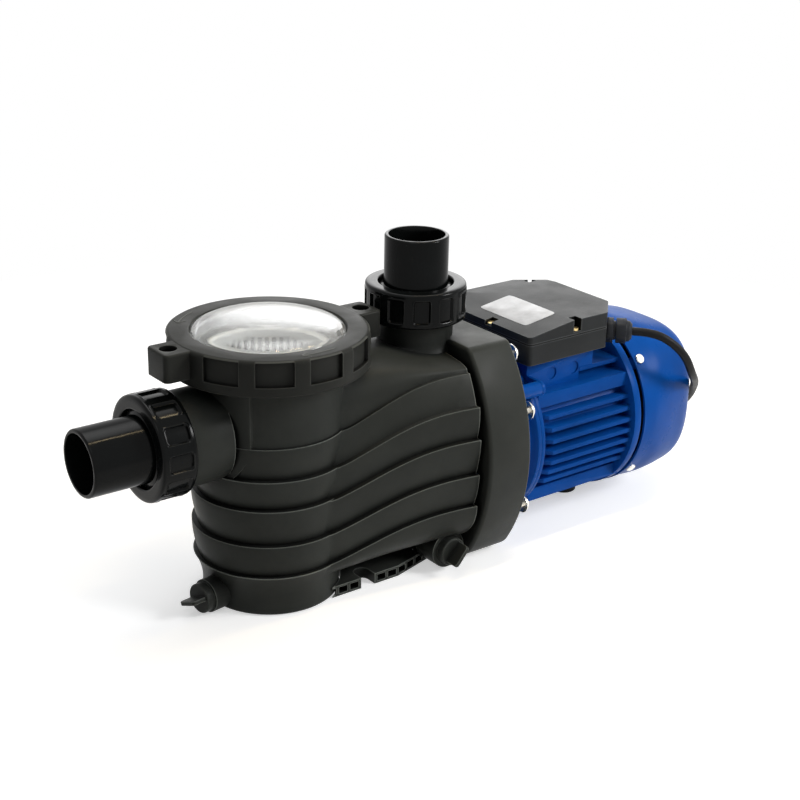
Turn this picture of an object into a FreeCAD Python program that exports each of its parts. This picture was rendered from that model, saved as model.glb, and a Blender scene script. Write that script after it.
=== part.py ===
"""Self-priming pool pump with a strainer pot, two pipe unions and a fan-cooled motor.

Millimetres. The origin is the centre of the strainer pot's flat bottom. +X points from
the pot to the motor, the suction union looks along -X and the discharge union along +Z.
"""
import FreeCAD, Part
import math
import os

Vec = FreeCAD.Vector
X_AXIS = Vec(1, 0, 0)
Y_AXIS = Vec(0, 1, 0)
Z_AXIS = Vec(0, 0, 1)

# ---------------------------------------------------------------- driving dimensions
# clearances
static_gap = 0.2          # between pieces that are clamped together
run_gap = 0.5             # between pieces that turn or slide on each other
shaft_gap = 0.05          # a pin or shaft in its hole
face_gap = 0.02           # under a screw's head

# strainer pot
pot_r = 55.5              # pot wall between the ribs
pot_neck_r = 56.0         # pot wall above the top rib
pot_foot_r = 53.0
pot_bore_r = 51.0
pot_floor = 6.0
pot_rim_z = 197.0
pot_collar_r = 66.0       # threaded collar under the locking ring
pot_collar_height = 10.5
basket_seat_depth = 6.5   # counterbore for the basket's flange
basket_seat_r = 52.0
basket_ledge_r = 47.5
basket_ledge_height = 3.0
edge_round = 3.0

# wavy ribs, from the top one to the bottom one
rib_pot_z = (137.5, 112.5, 89.0, 60.5, 34.5)        # rib edges round the pot
rib_flange_z = (164.5, 141.0, 115.0, 85.5, 58.5)    # the same edges at the flange
rib_leave_x = (33.0, 23.0, 18.0, 14.0, 14.0)        # where each edge starts to climb
rib_start_w = (44.0, 51.2, 55.5, 55.5, 53.5)        # half width of the body at the pot axis
rib_end_w = (63.0, 77.0, 80.0, 80.0, 78.5)          # half width of the body at the flange
rib_reach = (2.5, 4.5, 4.5, 4.5, 4.0)               # how far each edge stands out
rib_seam_drop = 0.6                                 # body ribs start this much under the pot's

# pump body between the pot and the flange
body_end_x = 141.0
body_top_z = 182.0        # top of the shoulder beside the locking ring
body_top_fall = 9.0       # how far the shoulder falls on the way to the flange
body_fall_start_x = 78.0
body_bottom_z = 14.0
shoulder_power = 2.7
keel_power = 2.3

# flange between the pump and the motor
flange_front_x = 145.0
flange_rear_x = 185.0
flange_half_width = 88.0
flange_side_r = 144.0     # radius of the two bowed sides
flange_top_z = 181.0
flange_bottom_z = 1.5
flange_top_round = 9.0
flange_bottom_round = 26.0
flange_edge_round = 3.0
flange_wall = 5.0
neck_inset = 16.0         # how much narrower the body is in the groove before the flange
flange_middle_z = 90.0    # height at which the flange is widest
motor_axis_z = 86.0
seal_plate_thickness = 8.6

# impeller chamber
chamber_r = 66.5
chamber_front_x = 118.0
chamber_nose_x = 72.0
chamber_nose_r = 40.0
suction_wall = 6.0
suction_tube_wall = 4.5
eye_r = 20.0
eye_ring_wall = 3.0
impeller_r = 58.0
impeller_thickness = 15.0
impeller_shroud = 2.5
impeller_rear_x = 153.0
impeller_blades = 6
diffuser_wall = 2.5
diffuser_vanes = 8

# pipe unions: both are the same size
pipe_r = 25.0
pipe_wall = 3.0
neck_bore_r = 20.5       # water passages in the body, a little narrower than the pipes
union_nut_r = 40.0
union_nut_length = 28.0
union_nut_lip = 6.5
union_nut_hole_r = 29.5
union_thread_r = 34.0
union_collar = 5.5
union_step_r = 28.3
union_step = 3.5
union_pockets = 12
union_pocket_width = 13.0
union_pocket_length = 19.0
union_pocket_depth = 1.6
suction_z = 140.2
suction_nut_x = -83.0     # rear face of the suction nut
suction_end_x = -155.5    # mouth of the suction pipe
suction_neck_r = 36.0
suction_pad_r = 40.0
suction_pad_height = 1.6
discharge_x = 135.7
discharge_nut_z = 195.5
discharge_end_z = 260.7
discharge_neck_r = 30.0
discharge_flare_r = 35.0
discharge_flare_z = 178.0
discharge_root_z = 168.0

# lid and locking ring
ring_r = 75.3
ring_bottom_z = 184.0
ring_top_z = 211.0
ring_window_r = 57.5
ring_lip = 7.6
ring_pockets = 12
ring_pocket_arc = 21.0    # degrees
ring_pocket_first = 31.0  # degrees from +X to the first pocket's middle
ring_pocket_bottom_z = 191.6
ring_pocket_top_z = 209.6
ring_rim = 3.4            # rounding of the ring's outer edge
ring_pocket_depth = 3.0
lug_reach = 93.2
lug_half_width = 14.0
lug_bottom_z = 190.0
lug_hole_x = 83.0
lug_hole_r = 6.6
lug_round = 4.0
lid_flange_r = 64.5
lid_wall = 4.0
lid_apex_z = 219.5
lid_shoulder_z = 209.0

# strainer basket
basket_top_r = 46.0
basket_bottom_r = 41.0
basket_wall = 2.0
basket_flange = 3.0
basket_bottom_z = 20.0
basket_columns = 20
basket_rows = 3
basket_slot_width = 6.0
basket_slot_height = 43.0
basket_slot_pitch = 54.0
basket_floor_height = 10.0
basket_inlet_r = 24.0

# drain plugs
plug_r = 11.5
plug_head = 7.0
plug_stem_r = 6.5
plug_stem_length = 9.0
plug_wing_length = 11.5
plug_wing_thickness = 3.2
plug_wing_half_width = 9.4
plug_boss_r = 13.0
body_boss_r = 15.5
body_boss_depth = 22.0
drain_seal_section = 0.95
pot_drain_z = 12.6
pot_drain_angle = 188.5   # degrees from +X
pot_drain_reach = 64.5
pot_plug_turn = 120.0     # degrees the wing is turned from the vertical
body_drain_x = 127.0
body_drain_z = 18.0
body_drain_reach = 61.5
body_plug_turn = 50.0

# ribbed foot under the body
foot_height = 9.0
foot_half_width = 48.0
foot_end_half_width = 33.0
foot_start_x = 12.0
foot_taper_x = 88.0
foot_end_x = 143.0
foot_slot_x = (52.0, 65.0)
foot_slot_depth = 15.0
foot_cell_height = 5.4
foot_cell_width = 8.0
foot_cell_pitch = 10.5
foot_cell_depth = 9.0
foot_post_r = 8.0
foot_post_x = (58.0, 118.0)
foot_post_y = 20.0
foot_screw_r = 2.4

# motor
bell_flange_x = 190.4
bell_flange_inset = 7.0
bell_r = 68.5
bell_rear_x = 211.5
frame_rear_x = 320.0
frame_r = 61.0
frame_bore_r = 55.0
frame_collar_r = 73.0
frame_collar = 3.5
rear_collar_r = 76.0
rear_collar_x = (313.5, 320.5)
fin_start_x = 217.0
fin_reach = 72.0
fin_middle_z = 82.0       # height at which the fins reach furthest
fin_roundness = 1.35      # how fast they fall back above and below it
fin_top_z = 108.6
fin_pitch = 9.4
fin_count = 7
fin_bevel = 8.0
plate_reach = 61.5        # the level plates above and below the fins
plate_z = (117.5, 129.0)
low_plate_reach = 55.0
low_plate_z = (32.7, 43.5)
short_fin_reach = 50.5    # between the pad and the rear collar
short_fin_z = 137.0
belly_z = 18.5            # underside of the frame between its feet
belly_half_width = 22.0
fin_thickness = 3.6
pad_end_x = 284.0
pad_low_end_x = 269.5     # the lower part of the pad is shorter
pad_step_z = 135.0
pad_half_width = 50.0
pad_bottom_z = 126.0
pad_top_z = 155.0
knockout_r = 5.5
knockout_depth = 1.2
knockout_x = (238.5, 263.0)
knockout_drop = 15.0      # below the pad's top
ear_r = 6.0
ear_screw_r = 2.0
frame_ear = 3.0
frame_screw_head = 1.6
frame_screw_head_r = 3.8
frame_screw_pocket = 9.0   # room behind each ear for the screw
ear_across = 64.0
ear_up = 51.0
low_ear_across = 44.0     # the lower ears lie inside the bell's drum
low_ear_down = 49.0
rear_bell = 12.0
rear_bell_r = 62.0

# shaft line
shaft_nose_x = 122.0
shaft_front_r = 7.0
shaft_bearing_r = 8.5
shaft_body_r = 12.0
shaft_tail_x = 372.0
shaft_room = 2.0          # round the shaft where nothing carries it
bearing_r = 20.0
bearing_width = 12.0
bearing_balls = 8
bearing_ball_r = 3.2
front_bearing_x = 194.0
rear_bearing_x = 320.5
core_start_x = 226.0
core_end_x = 300.0
core_r = 29.6
air_gap = 0.6
winding_r = 50.0
winding_reach = 12.0
seal_seat_r = 13.0
seal_ring_length = 7.0
seal_hub_length = 12.0
seal_hub_wall = 6.0
fan_x = 346.0
fan_depth = 20.0
fan_r = 60.0
fan_hub_r = 16.0
fan_blades = 7

# fan cowl
cowl_front_x = 325.0
cowl_r = 76.5
cowl_wall = 1.8
cowl_straight_x = 337.0   # where the cowl starts to narrow and to turn square
cowl_shoulder_x = 384.0
cowl_shoulder_r = 65.5
cowl_end_x = 411.0
cowl_end_r = 37.0
cowl_squareness = 3.0     # exponent of the rounded square it ends in, where a circle has 2
cowl_slots = 9
cowl_slot_height = 4.0
cowl_slot_pitch = 7.4
cowl_grille_r = 34.0
cowl_screw_x = 331.0
cowl_screw_angle = 40.5

# terminal box
box_start_x = 205.0
box_end_x = 310.0
box_half_width = 59.0
box_corner_cut = 21.0     # the two corners at the fan's end are cut at 45 degrees
box_base_height = 18.0
cover_height = 12.3
cover_low_height = 5.8    # the cover's edge at the pump's end
cover_far_height = 9.2    # the cover's edge on the far side
box_ramp_x = 250.0        # where the cover's slanted face meets its flat top
box_far_y = 27.0          # where the cover's top starts to fall on the far side
box_wall = 2.5
box_gasket = 1.2
box_corner_r = 4.0
box_screw_r = 2.0
box_screw_notch = 8.0
gland_height = 10.2       # above the box's floor
gland_across = 19.0
gland_thread_r = 6.0
gland_flange = 5.5
gland_length = 21.0
capacitor_r = 7.0
capacitor_length = 62.0
capacitor_x = 276.0
motor_foot_x = 308.0
motor_foot_r = 11.3

# flange bolts: (how far inside the flange's side, height) of each pair, and the bolt
flange_bolt_pairs = ((12.0, 168.0), (7.2, 127.0), (6.1, 46.0), (25.7, 13.0))
flange_bolt_r = 3.0
flange_bolt_head_r = 5.5
flange_bolt_head = 3.6
flange_washer_r = 7.5
flange_washer = 1.2
flange_bolt_tip_x = 158.0

# lead
cord_r = 3.5
coil_centre = (238.0, 142.0)
coil_r = 38.5             # middle of the wound turns
coil_slack = 0.25         # how loosely the turns lie
coil_columns = 2
coil_layers = 2
bend_share = 0.45
plug_body_r = 16.0
plug_body_length = 27.0
plug_relief = 22.0
plug_pin_r = 2.4
plug_pin_length = 19.0
plug_pin_spacing = 19.0

RIBS = len(rib_pot_z)
box_bottom_z = pad_top_z
box_seam_z = box_bottom_z + box_base_height
box_low_z = box_seam_z + cover_low_height
box_far_z = box_seam_z + cover_far_height
box_top_z = box_seam_z + cover_height
gland_z = box_bottom_z + gland_height


# ---------------------------------------------------------------- shape helpers
def cylinder(axis, radius, start, end, at=(0.0, 0.0)):
    """A cylinder along 'x' with its axis at (y, z), or along 'z' with its axis at (x, y)."""
    if axis == "x":
        return Part.makeCylinder(radius, end - start, Vec(start, at[0], at[1]), X_AXIS)
    return Part.makeCylinder(radius, end - start, Vec(at[0], at[1], start), Z_AXIS)


def tube(axis, outer, inner, start, end, at=(0.0, 0.0)):
    margin = 1.0
    hole = cylinder(axis, inner, start - margin, end + margin, at)
    return cylinder(axis, outer, start, end, at).cut(hole)


def block(x_range, y_range, z_range):
    size = [high - low for low, high in (x_range, y_range, z_range)]
    return Part.makeBox(*size, Vec(x_range[0], y_range[0], z_range[0]))


def turned(axis, profile, at=(0.0, 0.0)):
    """Revolve a closed profile of (place along the axis, radius) points."""
    if axis == "x":
        points = [Vec(a, at[0], at[1] + r) for a, r in profile]
        centre = Vec(0, at[0], at[1])
        direction = X_AXIS
    else:
        points = [Vec(at[0] + r, at[1], a) for a, r in profile]
        centre = Vec(at[0], at[1], 0)
        direction = Z_AXIS
    wire = Part.makePolygon(points + [points[0]])
    return Part.Face(wire).revolve(centre, direction, 360.0)


def torus(axis, ring_radius, section, place, at=(0.0, 0.0)):
    if axis == "x":
        return Part.makeTorus(ring_radius, section, Vec(place, at[0], at[1]), X_AXIS)
    return Part.makeTorus(ring_radius, section, Vec(at[0], at[1], place), Z_AXIS)


def turned_copy(shape, centre, axis, degrees):
    copy = shape.copy()
    copy.rotate(centre, axis, degrees)
    return copy


def pattern(shape, count, centre, axis, first=0.0):
    return [turned_copy(shape, centre, axis, first + 360.0 * i / count) for i in range(count)]


def mirrored(shape):
    """The same shape on the other side of the pump's middle plane."""
    return shape.mirror(Vec(0, 0, 0), Y_AXIS)


def placed(shape, origin, direction):
    """Move a shape built along +Z from the origin so that it looks along direction."""
    copy = shape.copy()
    turn = FreeCAD.Rotation(Z_AXIS, direction)
    copy.Placement = FreeCAD.Placement(origin, turn).multiply(copy.Placement)
    return copy


def fuse_all(shapes):
    return shapes[0].multiFuse(shapes[1:]).removeSplitter()


def prism_x(face_points, start, end):
    """Extrude a polygon of (y, z) points along X."""
    points = [Vec(start, y, z) for y, z in face_points]
    return Part.Face(Part.makePolygon(points + [points[0]])).extrude(Vec(end - start, 0, 0))


def motor_ring(outer, inner, start, end):
    return tube("x", outer, inner, start, end, (0.0, motor_axis_z))


def motor_rod(radius, start, end):
    return cylinder("x", radius, start, end, (0.0, motor_axis_z))


MOTOR_CENTRE = Vec(0, 0, motor_axis_z)


# ---------------------------------------------------------------- wavy pump body
def climb(t):
    """How far an edge has climbed, 0 to 1, for t from 0 at the pot to 1 at the flange."""
    t = min(max(t, 0.0), 1.0)
    return 1.0 - (1.0 - t) ** 3 * (1.0 + 2.0 * t)


def rib_z(rib, x):
    start = rib_pot_z[rib] - rib_seam_drop
    share = climb((x - rib_leave_x[rib]) / (body_end_x - rib_leave_x[rib]))
    return start + (rib_flange_z[rib] - start) * share


def rib_edge_w(rib, x):
    return rib_start_w[rib] + (rib_end_w[rib] - rib_start_w[rib]) * x / body_end_x


def rib_base_w(rib, x):
    return rib_edge_w(rib, x) - rib_reach[rib]


def shoulder_top(x):
    span = body_end_x - body_fall_start_x
    t = min(max((x - body_fall_start_x) / span, 0.0), 1.0)
    return body_top_z - body_top_fall * t * t * (3.0 - 2.0 * t)


def body_stations():
    inner = (12.0, 20.0, 28.0, 38.0, 50.0, 64.0, 80.0, 97.0, 114.0, 128.0)
    return (0.0,) + inner + (body_end_x,)


def body_curve(width, height):
    """A curve along the body whose half width and height are functions of x."""
    curve = Part.BSplineCurve()
    curve.interpolate([Vec(x, -width(x), height(x)) for x in body_stations()])
    return curve.toShape()


def skin(curves):
    return Part.makeLoft([Part.Wire(c) for c in curves], False, False).Faces


def band_faces(rib):
    """The bulging band under a rib's edge, down to the edge of the rib below it."""
    below = rib + 1
    curves = []
    for step in range(4):
        v = step / 3.0
        bulge = rib_reach[rib] * (1.0 - (1.0 - v) ** 2)

        def width(x, v=v, bulge=bulge):
            low = rib_base_w(below, x)
            return low + (rib_base_w(rib, x) - low) * v + bulge

        def height(x, v=v):
            low = rib_z(below, x)
            return low + (rib_z(rib, x) - low) * v

        curves.append(body_curve(width, height))
    return skin(curves)


def ledge_face(rib):
    """The narrow ledge on top of a rib's edge."""
    edge = body_curve(lambda x: rib_edge_w(rib, x), lambda x: rib_z(rib, x))
    base = body_curve(lambda x: rib_base_w(rib, x), lambda x: rib_z(rib, x))
    return Part.makeRuledSurface(edge, base)


def arch_faces(rib, half_width, rise, power):
    """A rounded roof, or keel for a negative rise, from one side over to the other."""
    curves = []
    steps = 12
    for step in range(steps + 1):
        angle = math.pi * step / steps
        across = math.copysign(abs(math.cos(angle)) ** (2.0 / power), math.cos(angle))
        up = abs(math.sin(angle)) ** (2.0 / power) if 0 < step < steps else 0.0
        if step * 2 == steps:
            across = 0.0
        curves.append(body_curve(
            lambda x, k=across: half_width(x) * k,
            lambda x, k=up: rib_z(rib, x) + rise(x) * k))
    return skin(curves)


def body_skin():
    """The body from the pot's axis to the groove before the flange, as one solid."""
    side = []
    for rib in range(RIBS - 1):
        side += band_faces(rib)
    side += [ledge_face(rib) for rib in range(RIBS)]
    faces = side + [mirrored(face) for face in side]
    top, bottom = 0, RIBS - 1
    faces += arch_faces(top, lambda x: rib_base_w(top, x),
                        lambda x: shoulder_top(x) - rib_z(top, x), shoulder_power)
    faces += arch_faces(bottom, lambda x: rib_edge_w(bottom, x),
                        lambda x: body_bottom_z - rib_z(bottom, x), keel_power)
    for place in (0.0, body_end_x):
        rim = [edge for face in faces for edge in face.Edges
               if abs(edge.BoundBox.XMin - place) < 1e-4 and abs(edge.BoundBox.XMax - place) < 1e-4]
        loops = Part.sortEdges(rim)
        faces.append(Part.Face(Part.Wire(loops[0])))
    shell = Part.makeShell(faces)
    shell.sewShape()
    solid = Part.makeSolid(shell)
    if solid.Volume < 0:
        solid.reverse()
    return solid


def pot_solid():
    """The pot, turned: a plain foot, four bulging bands with sharp upper edges, a neck."""
    points = [Vec(0, 0, 0), Vec(pot_foot_r - edge_round, 0, 0)]
    edges = [Part.LineSegment(points[0], points[1]).toShape()]
    corner = edge_round * (1.0 - math.sqrt(0.5))
    foot_top = Vec(pot_foot_r, 0, edge_round)
    edges.append(Part.Arc(points[1], Vec(pot_foot_r - corner, 0, corner), foot_top).toShape())
    here = foot_top
    for rib in reversed(range(RIBS)):
        edge = Vec(pot_r + rib_reach[rib], 0, rib_pot_z[rib])
        rise = edge.z - here.z
        middle = Vec(here.x + (edge.x - here.x) * 0.78, 0, here.z + rise * 0.5)
        if rib == RIBS - 1:
            middle = Vec(here.x + 0.6, 0, here.z + rise * 0.5)
        edges.append(Part.Arc(here, middle, edge).toShape())
        base = Vec(pot_neck_r if rib == 0 else pot_r, 0, edge.z)
        edges.append(Part.LineSegment(edge, base).toShape())
        here = base
    collar_z = pot_rim_z - pot_collar_height
    flare = pot_collar_r - pot_neck_r
    for point in (Vec(pot_neck_r, 0, collar_z - flare * 0.5), Vec(pot_collar_r, 0, collar_z),
                  Vec(pot_collar_r, 0, pot_rim_z), Vec(0, 0, pot_rim_z), Vec(0, 0, 0)):
        edges.append(Part.LineSegment(here, point).toShape())
        here = point
    return Part.Face(Part.Wire(edges)).revolve(Vec(0, 0, 0), Z_AXIS, 360.0)


def flange_side_y(z, inset=0.0):
    """Half the flange's width at a height, less an inset all round."""
    side_r = flange_side_r - inset
    return math.sqrt(side_r ** 2 - (z - flange_middle_z) ** 2) - flange_side_r + flange_half_width


def flange_outline(x, inset):
    """The flange's outline: two bowed sides, a flat top and bottom, rounded corners."""
    side_r = flange_side_r - inset
    centre_y = flange_side_r - flange_half_width
    top = flange_top_z - inset
    bottom = flange_bottom_z + inset

    corners = []
    for z, radius in ((bottom, flange_bottom_round), (top, flange_top_round)):
        round_r = max(radius - inset, 3.0)
        inward = 1.0 if z == bottom else -1.0
        centre_z = z + inward * round_r
        reach = side_r - round_r
        mid_y = math.sqrt(reach ** 2 - (centre_z - flange_middle_z) ** 2) - centre_y
        unit_y = (mid_y + centre_y) / reach
        unit_z = (centre_z - flange_middle_z) / reach
        on_side = (mid_y + unit_y * round_r, centre_z + unit_z * round_r)
        on_flat = (mid_y, z)
        half_y, half_z = unit_y, unit_z - inward
        norm = math.hypot(half_y, half_z)
        mid = (mid_y + half_y / norm * round_r, centre_z + half_z / norm * round_r)
        corners.append((on_side, mid, on_flat))
    (low_side, low_mid, low_flat), (high_side, high_mid, high_flat) = corners
    widest = (flange_side_y(flange_middle_z, inset), flange_middle_z)

    def point(p, sign):
        return Vec(x, sign * p[0], p[1])

    edges = []
    for sign in (1, -1):
        edges += [
            Part.Arc(point(low_flat, sign), point(low_mid, sign), point(low_side, sign)),
            Part.Arc(point(low_side, sign), point(widest, sign), point(high_side, sign)),
            Part.Arc(point(high_side, sign), point(high_mid, sign), point(high_flat, sign))]
    edges += [Part.LineSegment(point(low_flat, 1), point(low_flat, -1)),
              Part.LineSegment(point(high_flat, 1), point(high_flat, -1))]
    loops = Part.sortEdges([e.toShape() for e in edges])
    return Part.Wire(loops[0])


def flange_prism(start, end, inset):
    return Part.Face(flange_outline(start, inset)).extrude(Vec(end - start, 0, 0))


def body_flange():
    solid = flange_prism(flange_front_x, flange_rear_x, 0.0)
    front = [e for e in solid.Edges if abs(e.BoundBox.XMax - flange_front_x) < 1e-4]
    return solid.makeFillet(flange_edge_round, front)


def drain_boss(radius, origin, direction, depth):
    return placed(cylinder("z", radius, -depth, 0.0), origin, direction)


def drain_bore(origin, direction):
    """The hole for a drain plug's stem, its seal's groove and room round its head."""
    outside = plug_head + plug_wing_length
    half = drain_seal_section + run_gap
    hole = cylinder("z", plug_stem_r + shaft_gap, -plug_stem_length - static_gap, outside)
    groove = tube("z", plug_seal_r() + half, plug_seal_r() - half, -2 * drain_seal_section, 1.0)
    head = cylinder("z", plug_r + run_gap, 0.0, outside)
    return placed(fuse_all([hole, groove, head]), origin, direction)


def plug_seal_r():
    return (plug_stem_r + plug_r) / 2.0


POT_DRAIN_DIR = Vec(math.cos(math.radians(pot_drain_angle)),
                    math.sin(math.radians(pot_drain_angle)), 0)
POT_DRAIN = POT_DRAIN_DIR * pot_drain_reach + Vec(0, 0, pot_drain_z)
BODY_DRAIN_DIR = Vec(0, -1, 0)
BODY_DRAIN = Vec(body_drain_x, -body_drain_reach, body_drain_z)


def union_neck_end():
    return union_nut_length - union_nut_lip - union_collar - 2 * static_gap


def suction_pad():
    """The raised U-shaped pad that the suction neck stands on."""
    reach = pot_neck_r + 4.0
    disc = cylinder("x", suction_pad_r, -reach, -pot_neck_r / 2, (0.0, suction_z))
    collar_z = pot_rim_z - pot_collar_height
    upright = block((-reach, -pot_neck_r / 2), (-suction_pad_r, suction_pad_r),
                    (suction_z, collar_z))
    return disc.fuse(upright).common(
        cylinder("z", pot_neck_r + suction_pad_height, 0, collar_z))


def pump_body():
    """One moulding: pot, wavy body, flange, both union necks, drain bosses and foot posts."""
    suction_at = (0.0, suction_z)
    discharge_at = (discharge_x, 0.0)
    neck_end = union_neck_end()
    parts = [pot_solid(), body_skin(), body_flange(), suction_pad()]
    parts.append(flange_prism(body_end_x - 4.0, flange_front_x + 2.0, neck_inset))
    parts.append(cylinder("x", suction_neck_r, suction_nut_x, -pot_bore_r, suction_at))
    parts.append(cylinder("x", union_thread_r, suction_nut_x - neck_end, suction_nut_x + 1.0,
                          suction_at))
    parts.append(turned("z", [(discharge_root_z - 20.0, 0.0),
                              (discharge_root_z - 20.0, discharge_flare_r),
                              (discharge_root_z, discharge_flare_r),
                              (discharge_flare_z, discharge_neck_r),
                              (discharge_nut_z, discharge_neck_r),
                              (discharge_nut_z, union_thread_r),
                              (discharge_nut_z + neck_end, union_thread_r),
                              (discharge_nut_z + neck_end, 0.0)], discharge_at))
    parts.append(drain_boss(plug_boss_r, POT_DRAIN, POT_DRAIN_DIR, plug_stem_length + 6.0))
    parts.append(drain_boss(body_boss_r, BODY_DRAIN, BODY_DRAIN_DIR, body_boss_depth))
    for x in foot_post_x:
        for side in (-1, 1):
            parts.append(cylinder("z", foot_post_r, foot_height, body_bottom_z + 16.0,
                                  (x, side * foot_post_y)))
    return fuse_all(parts).cut(Part.Compound(body_hollows()))


def body_hollows():
    """Everything that is open inside the body: pot, passages, chamber, seats and holes."""
    ledge_top = pot_rim_z - basket_seat_depth
    ledge_low = ledge_top - basket_ledge_height
    margin = 1.0
    pot = turned("z", [(pot_floor, 0.0), (pot_floor, pot_bore_r), (ledge_low, pot_bore_r),
                       (ledge_low, basket_ledge_r), (ledge_top, basket_ledge_r),
                       (ledge_top, basket_seat_r), (pot_rim_z + margin, basket_seat_r),
                       (pot_rim_z + margin, 0.0)])
    suction_end = suction_nut_x - union_neck_end()
    suction = cylinder("x", neck_bore_r, suction_end - margin, -pot_bore_r / 2, (0.0, suction_z))
    discharge_end = discharge_nut_z + union_neck_end()
    discharge = cylinder("z", neck_bore_r, motor_axis_z + eye_r * 2, discharge_end + margin,
                         (discharge_x, 0.0))
    port_rear = chamber_front_x
    port_front = port_rear - suction_wall
    chamber = turned("x", [(chamber_nose_x, 0.0), (chamber_nose_x, chamber_nose_r),
                           (port_front - 6.0, chamber_r - 5.0), (port_rear, chamber_r),
                           (flange_rear_x, chamber_r), (flange_rear_x, 0.0)],
                     (0.0, motor_axis_z))
    tube_r = neck_bore_r + suction_tube_wall
    wall_r = eye_r + eye_ring_wall + run_gap + suction_tube_wall * 2
    suction_tube = motor_rod(tube_r, chamber_nose_x - margin, port_rear)
    suction_tube = suction_tube.fuse(motor_rod(wall_r, port_front, port_rear))
    passage = motor_rod(neck_bore_r, pot_bore_r / 2, port_front)
    port = motor_rod(eye_r + eye_ring_wall + run_gap, port_front, port_rear + margin)
    plate_seat = flange_prism(flange_rear_x - seal_plate_thickness - static_gap,
                              flange_rear_x + margin, flange_wall)
    hollows = [pot, suction, discharge, chamber.cut(suction_tube), passage, port, plate_seat,
               drain_bore(POT_DRAIN, POT_DRAIN_DIR), drain_bore(BODY_DRAIN, BODY_DRAIN_DIR)]
    hollows += [seal_groove("z", lid_seal_r(), pot_rim_z, -1.0, (0.0, 0.0)),
                seal_groove("z", union_seal_r(), discharge_end, -1.0, (discharge_x, 0.0)),
                seal_groove("x", union_seal_r(), suction_end, 1.0, (0.0, suction_z))]
    bolt_hole = flange_bolt_r + shaft_gap
    for y, z in bolt_places():
        hollows.append(cylinder("x", bolt_hole, flange_bolt_tip_x - margin, flange_rear_x, (y, z)))
    for x in foot_post_x:
        for side in (-1, 1):
            hollows.append(cylinder("z", foot_screw_r + shaft_gap, 0.0, foot_height + 10.0,
                                    (x, side * foot_post_y)))
    return hollows


# ---------------------------------------------------------------- seals
union_seal_section = 1.6
lid_seal_section = 1.9
chamber_seal_section = 1.1
seal_squeeze = 0.1


def union_seal_r():
    return (pipe_r - pipe_wall + union_thread_r) / 2.0 - 1.5


def lid_seal_r():
    return (basket_seat_r + pot_collar_r) / 2.0


def seal_section(radius):
    return lid_seal_section if radius == lid_seal_r() else union_seal_section


def seal_groove(axis, radius, face, into, at):
    """A rectangular groove cut into a face; into is +1 or -1 along the axis."""
    section = seal_section(radius) + seal_squeeze
    low, high = sorted((face - into, face + into * (2 * section - static_gap)))
    return tube(axis, radius + section, radius - section, low, high, at)


def seal_ring(axis, radius, face, into, at):
    section = seal_section(radius)
    return torus(axis, radius, section, face + into * (section - static_gap + 0.05), at)


def lid_seal():
    return seal_ring("z", lid_seal_r(), pot_rim_z, -1.0, (0.0, 0.0))


def suction_seal():
    return seal_ring("x", union_seal_r(), suction_nut_x - union_neck_end(), 1.0,
                     (0.0, suction_z))


def discharge_seal():
    return seal_ring("z", union_seal_r(), discharge_nut_z + union_neck_end(), -1.0,
                     (discharge_x, 0.0))


# ---------------------------------------------------------------- pipe unions
SUCTION = (Vec(suction_nut_x, 0, suction_z), Vec(-1, 0, 0))
DISCHARGE = (Vec(discharge_x, 0, discharge_nut_z), Vec(0, 0, 1))


def union_nut():
    """The union nut with its lip, its rounded rims and a row of shallow pockets."""
    rim = 2.5
    lip_z = union_nut_length - union_nut_lip
    bore = union_thread_r + run_gap
    profile = [(0.0, bore), (0.0, union_nut_r - rim), (rim * 0.3, union_nut_r - rim * 0.3),
               (rim, union_nut_r), (union_nut_length - rim * 1.6, union_nut_r),
               (union_nut_length - rim * 0.5, union_nut_r - rim * 0.6),
               (union_nut_length, union_nut_r - rim * 1.8),
               (union_nut_length, union_nut_hole_r + 1.0),
               (union_nut_length - 1.0, union_nut_hole_r), (lip_z, union_nut_hole_r),
               (lip_z, bore)]
    nut = turned("z", profile)
    half = union_pocket_width / 2.0
    start = (union_nut_length - union_pocket_length) / 2.0 - 0.5
    pocket = block((union_nut_r - union_pocket_depth, union_nut_r + 2.0), (-half, half),
                   (start, start + union_pocket_length))
    return nut.cut(Part.Compound(pattern(pocket, union_pockets, Vec(0, 0, 0), Z_AXIS)))


def union_tail(length):
    """The solvent-weld tail: a pipe stub with a step and the collar that the nut clamps."""
    start = union_neck_end() + static_gap
    collar_end = start + union_collar
    profile = [(start, pipe_r - pipe_wall), (start, union_thread_r), (collar_end, union_thread_r),
               (collar_end, union_step_r), (collar_end + union_step, union_step_r),
               (collar_end + union_step + 0.8, pipe_r), (length - 1.0, pipe_r),
               (length, pipe_r - 1.0), (length, pipe_r - pipe_wall)]
    return turned("z", profile)


def suction_length():
    return suction_nut_x - suction_end_x


def discharge_length():
    return discharge_end_z - discharge_nut_z


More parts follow.
